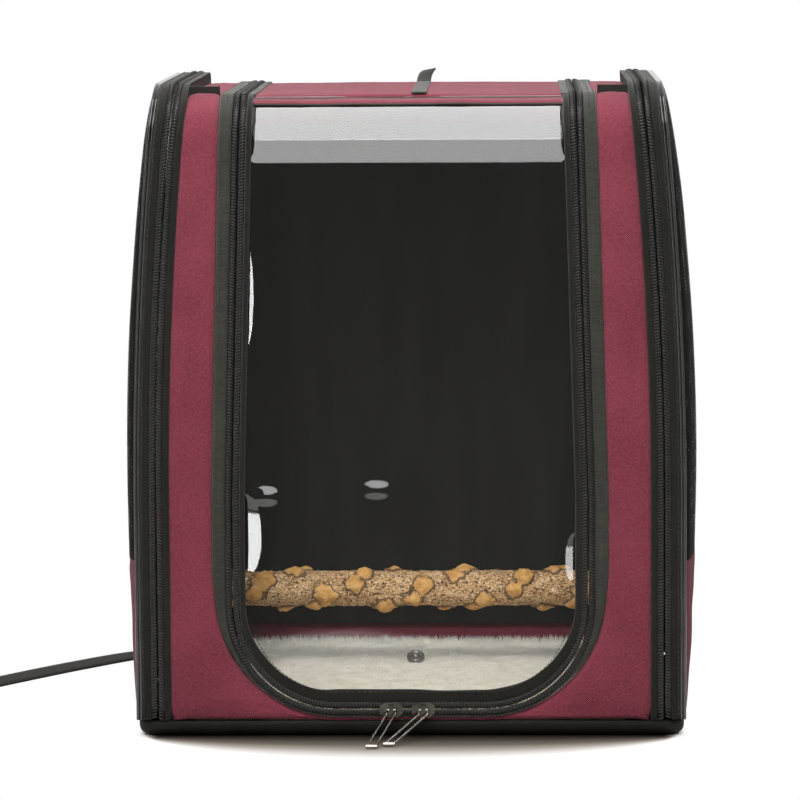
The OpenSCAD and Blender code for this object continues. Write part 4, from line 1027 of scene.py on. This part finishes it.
BOTTOM = float(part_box("plush_mat")[0][2])
FULL = float(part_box("plush_mat")[1][2]) - BOTTOM
v, u = np.meshgrid(np.linspace(-1, 1, 60), np.linspace(-1, 1, 80))
u, v = np.sin(u * np.pi / 2 * 0.96) / np.sin(np.pi / 2 * 0.96), np.sin(v * 1.5) / np.sin(1.5)
x, y = MAT_X * u * np.sqrt(1 - v * v * 0.03), MAT_Y * v * np.sqrt(1 - u * u * 0.03)
full, dip = mat_height(x, y)
lumps = smooth_noise(x.shape, (9, 7), 61)
z = BOTTOM + FULL * full * 0.86 + 0.6 * MM * lumps - DIMPLE * dip
upper = np.stack([x, y, z], -1)
lower = np.stack([x, y, np.full_like(x, BOTTOM + 0.4 * MM)], -1)
ring = [np.concatenate([g[:, 0], g[-1, 1:], g[-2::-1, -1], g[0, -2:0:-1]])
        for g in (lower, upper)]
va, qa, _ = grid_arrays(upper)
vb, qb, _ = grid_arrays(lower[:, ::-1])
vc, qc, _ = grid_arrays(np.stack(ring), True)
ob = mesh_object("plush_mat_pad", np.concatenate([va, vb, vc]), np.concatenate(
    [qa, qb + len(va), qc[:, ::-1] + len(va) + len(vb)]), PLUSH)
weld = ob.modifiers.new("weld", "WELD")
weld.merge_threshold = 0.05 * MM
puffed(ob, 2.5 * MM)
place(ob, "mat", ["plush_mat"])


def pile():
    """The mat's pile: a closed cone of four triangles for each tuft, rooted at a random
    place of the face, leaning by a random way and outwards at the edges."""
    r = np.random.default_rng(8)
    px, py = r.uniform(-1, 1, (2, TUFTS))
    px, py = MAT_X * 0.985 * px, MAT_Y * 0.985 * py
    near = np.hypot(px - STUD[0], py - STUD[1]) > 8.5 * MM
    px, py = px[near], py[near]
    n = len(px)
    full, dip = mat_height(px, py)
    pz = BOTTOM + FULL * full * 0.9 - DIMPLE * dip - 0.8 * MM
    out = np.stack([px / MAT_X, py / MAT_Y], -1)
    edge = np.clip((np.abs(out).max(1) - 0.9) / 0.1, 0, 1)
    lean = r.normal(0, 0.45, (n, 2)) + 0.9 * edge[:, None] * np.sign(out) * (np.abs(out) > 0.9)
    long = r.uniform(3.2, 5.6, n)[:, None] * MM * (1 - 0.5 * edge[:, None])
    gap = np.hypot(px - STUD[0], (py - STUD[1]) * np.where(py < STUD[1], 0.45, 1.0))
    long *= (0.25 + 0.75 * np.clip((gap - 7 * MM) / (14 * MM), 0, 1))[:, None]
    # the pile stands tall and ragged along the back edge
    back = np.clip((py / MAT_Y - 0.84) / 0.1, 0, 1)[:, None]
    long += back * r.uniform(4, 10, (n, 1)) * MM
    lean *= 1 - 0.7 * back
    way = np.concatenate([lean, np.full((n, 1), 0.9)], 1)
    way /= np.linalg.norm(way, axis=1, keepdims=True)
    root = np.stack([px, py, pz], -1)
    tip = root + way * long
    tip[:, :2] += lean * long * 0.35
    tip = np.clip(tip, (-MAT_X - 2 * MM, -MAT_Y - 2 * MM, 0),
                  (MAT_X + 2 * MM, MAT_Y + 2 * MM, BOTTOM + FULL + 1.5 * MM))
    a = r.uniform(0, 2 * np.pi, (n, 1)) + np.arange(3) * 2 * np.pi / 3
    foot = root[:, None] + TUFT_R * np.stack([np.cos(a), np.sin(a), 0 * a], -1)
    verts = np.concatenate([foot, tip[:, None]], 1).reshape(-1, 3)
    tufts = (np.arange(n)[:, None, None] * 4
             + np.array([[0, 1, 3], [1, 2, 3], [2, 0, 3], [0, 2, 1]])).reshape(-1, 3)
    return verts, tufts


place(mesh_object("plush_mat_pile", *pile(), PLUSH), "mat")

# the press snap in its dimple: cap with a rolled rim and a socket, on its post
snap_z = float(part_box("mat_snap")[1][2]) / MM
post = float(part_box("mat_snap")[0][2]) / MM
grid = turned([(2.05, post + 3.2), (2.05, post), (4.1, post), (4.1, snap_z - 1.7),
               (6.0, snap_z - 1.6), (6.25, snap_z - 1.2), (6.25, snap_z - 0.5),
               (5.9, snap_z), (5.3, snap_z + 0.15), (4.8, snap_z - 0.1), (4.5, snap_z - 0.7),
               (3.2, snap_z - 0.8), (2.9, snap_z - 0.4), (2.2, snap_z - 0.2),
               (1.8, snap_z - 0.5), (1.5, snap_z - 1.2), (0.05, snap_z - 1.3)])
# the fleece round it is soft, so its cap tips towards the window
tip_by = math.radians(42) * np.clip((grid[..., 2] / MM - snap_z + 6) / 4, 0, 1)
gy, gz = grid[..., 1].copy(), grid[..., 2] - snap_z * MM + 0.5 * MM
grid[..., 1] = gy * np.cos(tip_by) - gz * np.sin(tip_by) + STUD[1] - 1 * MM
grid[..., 2] = (gy * np.sin(tip_by) + gz * np.cos(tip_by) + snap_z * MM
                + 1.4 * MM * (tip_by > 0))
place(joined("snap_cap", [grid], NICKEL), "mat", ["mat_snap"])

# the perch: a branch of 12 mm radius, with blunt knobs placed round it by the golden angle.
# In MM: its half length, radius and height, and how deep its bolts go; a turn has TURN
# points, and RINGS of them follow each other along it
HL, BRANCH_R, PERCH_Z = float(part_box("perch_branch")[1][0]) / MM, 12, 79
TURN, RINGS, BOLT_HOLE = 120, 460, 25.7


def branch():
    """Grid of the branch, and the height of its knobs from 0 to 1: a tube with a bolt's
    hole in either end, and on it the highest of the domes that fall off with the distance
    round their knobs, with slow and fine roughness."""
    i = np.arange(43)
    knob_x = (HL - 14) * (i / 21 - 1)
    knob_a = np.radians(137.5) * i / 2 + (i % 2) * 2.0
    knob_h = np.where(i % 2, 3.6, 5.4 - (i // 2 % 3) * 0.6)
    hole = np.array([-HL + BOLT_HOLE + 0.1, -HL + BOLT_HOLE, -HL])
    x = np.concatenate([hole, np.linspace(-HL + 0.3, HL - 0.3, RINGS), -hole[::-1]])[:, None]
    base = np.concatenate([[0.1, 3.0, 3.0], np.full(RINGS, 1.0 * BRANCH_R),
                           [3.0, 3.0, 0.1]])[:, None]
    base[3] = base[-4] = BRANCH_R - 0.8
    a = np.arange(TURN)[None] * 2 * np.pi / TURN
    high = np.zeros((len(x), TURN))
    wob, grit, fine = (smooth_noise((len(x), TURN + 1), cells, seed)[:, :TURN]
                       for cells, seed in (((60, 8), 71), ((110, 18), 73), ((150, 26), 72)))
    for kx, ka, kh in zip(knob_x, knob_a, knob_h):
        turn = (a - ka + np.pi) % (2 * np.pi) - np.pi
        dx, dt = np.abs(x - kx), np.abs(BRANCH_R * turn)
        near = 0.55 * np.hypot(dx, dt) + 0.45 * (dx * 0.85 + dt * 0.9)
        near = near * (1 + 0.3 * grit)
        fall = np.clip(1.12 - near / (4.0 + kh * 0.8), 0, 1)
        high = np.maximum(high, kh * (1 - (1 - fall) ** 1.4))
    body = (base > 10) * (high + 0.55 * wob + 0.4 * fine)
    body *= np.clip((HL - np.abs(x)) / 4, 0, 1)
    rad = base + body
    grid = points(x, -rad * np.sin(a), PERCH_Z + rad * np.cos(a)) * MM
    return grid, high * (base > 10) / 5.4


grid, knobs = branch()
ob = place(joined("bark_branch", [grid], BARK), "shell", ["perch_branch"])
ob.data.attributes.new("knob", "FLOAT", "POINT").data.foreach_set("value", knobs.reshape(-1))

# straps and pads of the back
def smooth_path(points, n):
    """Catmull-Rom curve through points, n steps to each span."""
    p = np.array(points, float)
    e = len(p) - 1
    i, t = np.divmod(np.arange(e * n + 1), n)
    i, t = np.minimum(i, e - 1), (t / n)[:, None]
    t[-1] = 1
    a, b, c, d = (p[np.clip(i + k, 0, e)] for k in (-1, 0, 1, 2))
    return 0.5 * (2 * b + (c - a) * t + (2 * a - 5 * b + 4 * c - d) * t ** 2
                  + (3 * b - a - 3 * c + d) * t ** 3)


def frames(p, dirs):
    """Unit directions across a strap and off its face, along its path."""
    run = np.gradient(p, axis=0)
    wide = dirs / np.linalg.norm(dirs, axis=1, keepdims=True)
    off = np.cross(run, wide)
    return wide, off / np.linalg.norm(off, axis=1, keepdims=True)


def flat_strap(points, dirs, width, thick, n=14):
    """Grid of a flat strap with round edges, carried along a smooth path."""
    p, w = smooth_path(points, n) * MM, smooth_path(dirs, n)
    wide, off = frames(p, w)
    half, t = width / 2, thick / 2
    loop = np.array([(-half + 0.2, -t), (-half * 0.5, -t), (0, -t), (half * 0.5, -t),
                     (half - 0.2, -t), (half, 0), (half - 0.2, t), (half * 0.5, t), (0, t),
                     (-half * 0.5, t), (-half + 0.2, t), (-half, 0)]) * MM
    return (p[:, None] + wide[:, None] * loop[None, :, :1] + off[:, None] * loop[None, :, 1:])


# the straps' paths in MM, the loose end of the left one lying on the floor
FLOOR_Z = 0.9
across = [(1, 0, 0)] * 4
low_path = np.array([(113, 147.3, 140), (119, 140.58, 94), (118, 135.5, 56),
                     (122, 130.5, 18)])
mirror = np.array([-1, 1, 1])
left_path = [(-113, 156.98, 128), (-114, 166.58, 89), (-116, 172.58, 48),
             (-123, 175.58, 14), (-143, 178.58, FLOOR_Z), (-175, 181.58, FLOOR_Z),
             (-206, 180, FLOOR_Z), (-250, 133, FLOOR_Z), (-291, 80, FLOOR_Z),
             (-322, 38, FLOOR_Z)]
left_dirs = [(1, 0, 0), (0.9, 0.35, 0), (0.5, 0.85, 0), (0.1, 1, 0), (0, 1, 0),
             (-0.05, 1, 0), (-0.5, 0.86, 0), (-0.76, 0.65, 0), (-0.79, 0.61, 0),
             (-0.81, 0.59, 0)]
right_path = [(113, 156.98, 128), (113, 164.58, 94), (111, 166.58, 55), (109, 166.58, 12)]
right_dirs = [(1, 0, 0), (1, 0, 0), (1, 0.05, 0), (1, 0.1, 0)]
for q, k, path, dirs in (("left", mirror, left_path, left_dirs),
                         ("right", 1, right_path, right_dirs)):
    grids = [flat_strap(low_path * k, across, 25, 1.6), flat_strap(path, dirs, 25, 1.6)]
    place(joined("shoulder_webbing_" + q, grids, WEBBING), "shell", ["strap_webbing_" + q])

pad_points = np.array([(100, 132.8, 376), (101.2, 153.34, 335.3), (104.2, 165.5, 281.1),
                       (108.4, 163.6, 220.1), (112, 153.34, 150)])
steps = 12
p = smooth_path(pad_points, steps) * MM
wide, off = frames(p, np.array([(1.0, 0, 0)] * len(p)))
e = len(p) - 1
end = np.sin(np.pi * (np.arange(e + 1) + 1.2) / (e + 2.4)) ** 0.3
a = np.arange(40) * 2 * np.pi / 40
cs, sn = np.cos(a), np.sin(a)
lx = (np.sign(cs) * np.abs(cs) ** 0.55)[None] * (30 * MM * end)[:, None]
ly = (np.sign(sn) * np.abs(sn) ** 0.8)[None] * (6 * MM * end)[:, None]
ly = ly * (1 - 0.12 * np.exp(-((np.abs(lx) - 12 * MM) / (2.2 * MM)) ** 2))
pad = p[:, None] + wide[:, None] * 0.95 * lx[..., None] + off[:, None] * 0.85 * ly[..., None]
first = puffed(joined("shoulder_pad_soft_right", [pad], SPACER), 1.6 * MM)
n = len(first.data.vertices)
co = np.empty(n * 3)
first.data.vertices.foreach_get("co", co)
other = first.copy()
other.data = first.data.copy()
other.name = other.data.name = "shoulder_pad_soft_left"
other.data.vertices.foreach_set("co", (co.reshape(-1, 3) * mirror).reshape(-1))
other.data.flip_normals()
scene.collection.objects.link(other)
for ob, q, k in ((first, "right", 1), (other, "left", -1)):
    place(ob, "shell", ["shoulder_pad_" + q])
    reach = np.array([[-1], [1]]) * 29.6 * MM * end[:, None].T
    rim = p[:, None] + wide[:, None] * reach.T[..., None]
    loop = np.concatenate([rim[:, 0], rim[::-1, 1]])
    ring = np.concatenate([loop[-1:], loop, loop[:2]])
    verts, quads = tubes(ring[None], 1.5 * MM, np.array([0, 1.0, 0.02]), 10)
    cord = mesh_object("shoulder_pad_binding_" + q, verts * np.array([k, 1, 1]),
                       quads if k > 0 else quads[:, ::-1], TAPE_CAD)
    place(cord, "shell")

# the carry handle: stuffed webbing tube through a ribbed sleeve
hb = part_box("handle_sleeve")
hl = float(hb[1][0]) / MM
hy, hz = (float(hb[0][i] + hb[1][i]) / 2 / MM for i in (1, 2))
xs = np.linspace(-hl, hl, 200)
rad = 9.3 - 0.55 * (0.5 + 0.5 * np.cos(2 * np.pi * xs / 4.6)) ** 4
rad *= np.clip((hl - np.abs(xs)) / 1.4, 0, 1) ** 0.3 * 0.12 + 0.88
rad = np.concatenate([[6.05], rad, [6.05]])
xs = np.concatenate([[-hl], xs, [hl]])
a = np.arange(48) * 2 * np.pi / 48
grid = points(xs[:, None], hy + rad[:, None] * np.cos(a),
              hz + rad[:, None] * np.sin(a)) * MM
place(joined("handle_grip_sleeve", [grid], SLEEVE), "handle", ["handle_sleeve"])

# rows of stitching on the tabs that carry the straps and the handle
def box_stitch(name, x0, x1, z0, z1):
    """Boxed cross stitching on a patch of the back, with a stitch each 3.2 mm."""
    out = []
    for a, b in (((x0, z0), (x1, z0)), ((x1, z0), (x1, z1)), ((x1, z1), (x0, z1)),
                 ((x0, z1), (x0, z0)), ((x0, z0), (x1, z1)), ((x0, z1), (x1, z0))):
        a, b = np.array(a), np.array(b)
        n = int(np.linalg.norm(b - a) / 3.2)
        t = ((np.arange(n) + 0.5)[:, None, None]
             + np.linspace(-0.36, 0.36, 4)[None, :, None]) / n
        xz = a + (b - a) * t
        dip = TAB_Y + np.array([-0.25, 0.15, 0.15, -0.25])[None] + 0 * xz[..., 0]
        out.append(np.stack([xz[..., 0], dip, xz[..., 1]], -1) * MM)
    verts, quads = tubes(np.concatenate(out), THREAD_R, np.array([0, 1.0, 0]))
    place(mesh_object(name, verts, quads, THREAD), "shell")


# the tabs' faces at the back, in MM
TAB_Y = 129.45
for k, q in SIDES:
    box_stitch("pad_tab_stitches_" + q, k * 82, k * 118, 363, 388)
    box_stitch("foot_tab_stitches_" + q, k * 110, k * 134, 14, 30)
    box_stitch("handle_tab_stitches_" + q, k * 42, k * 62, 383.5, 387)

# the foot: a moulded tray with rounded edges
lo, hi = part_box("base_tray")
hx, hy = float(hi[0]) / MM, float(hi[1]) / MM


def round_box(hx, hy, r, inset, z):
    """Ring of points round a rectangle with round corners, drawn in by an inset."""
    a = (np.arange(12) + 0.5) * np.pi / 24
    arc = np.stack([np.cos(a), np.sin(a)], -1)
    out = []
    for sx, sy in ((1, 1), (-1, 1), (-1, -1), (1, -1)):
        turn = arc if sx * sy > 0 else arc[::-1]
        corner = np.array([sx * (hx - r), sy * (hy - r)])
        out.append(corner + turn * np.array([sx, sy]) * max(r - inset, 0.4))
    ring = np.concatenate(out)
    return np.concatenate([ring, np.full((len(ring), 1), z)], 1)


# by how far each ring is drawn in, and its height
rings = [round_box(hx, hy, 12, i, z) for i, z in (
    (6.5, 0.0), (5.2, 0.05), (3.2, 0.6), (1.6, 1.7), (0.6, 3.2), (0.1, 5), (0, 7), (0, 9.4),
    (0.5, 10), (1.2, 10.3), (2.0, 10.2), (2.6, 9.6), (3, 8.6), (3, 3.0), (3.4, 2.9))]
place(joined("tray_moulding", [np.stack(rings) * MM], TRAY), "shell", ["base_tray"])

# the tie over the top and the loop under it
TIE_X = 7 * MM
w = np.linspace(SEAM_W + 0.8 * MM, TOP_H - CORNER + CORNER * np.pi / 2 + 157.2 * MM, 90)


def on_tie(w, d, o):
    """Point on the top's middle line, d across and o off it."""
    w, d, o = np.broadcast_arrays(w, d, o)
    y, z, ny, nz = side_view(w, CORNER, TOP_H)
    lift = 0.5 * MM * np.sin(w / (13 * MM)) ** 2
    return np.stack([TIE_X + d, y + (o + lift) * ny, z + (o + lift) * nz], -1)


strip = section((-5, 0.9), (5, 0.9), (5, 2.1), (-5, 2.1))
tape("tie_tape", [swept(on_tie, w, strip)], "top_flap", ["tie_strap"])
tip = flat_strap([(7, 58.6, 426.1), (7.4, 63.5, 429.3), (8.6, 67.5, 432.6),
                  (10.6, 70.6, 434.9)],
                 [(1, 0, 0), (1, 0, 0.05), (1, -0.1, 0.1), (1, -0.2, 0.2)], 10, 1.2, 8)
tape("tie_tape_end", [tip], "top_flap", ["tie_strap_end"])
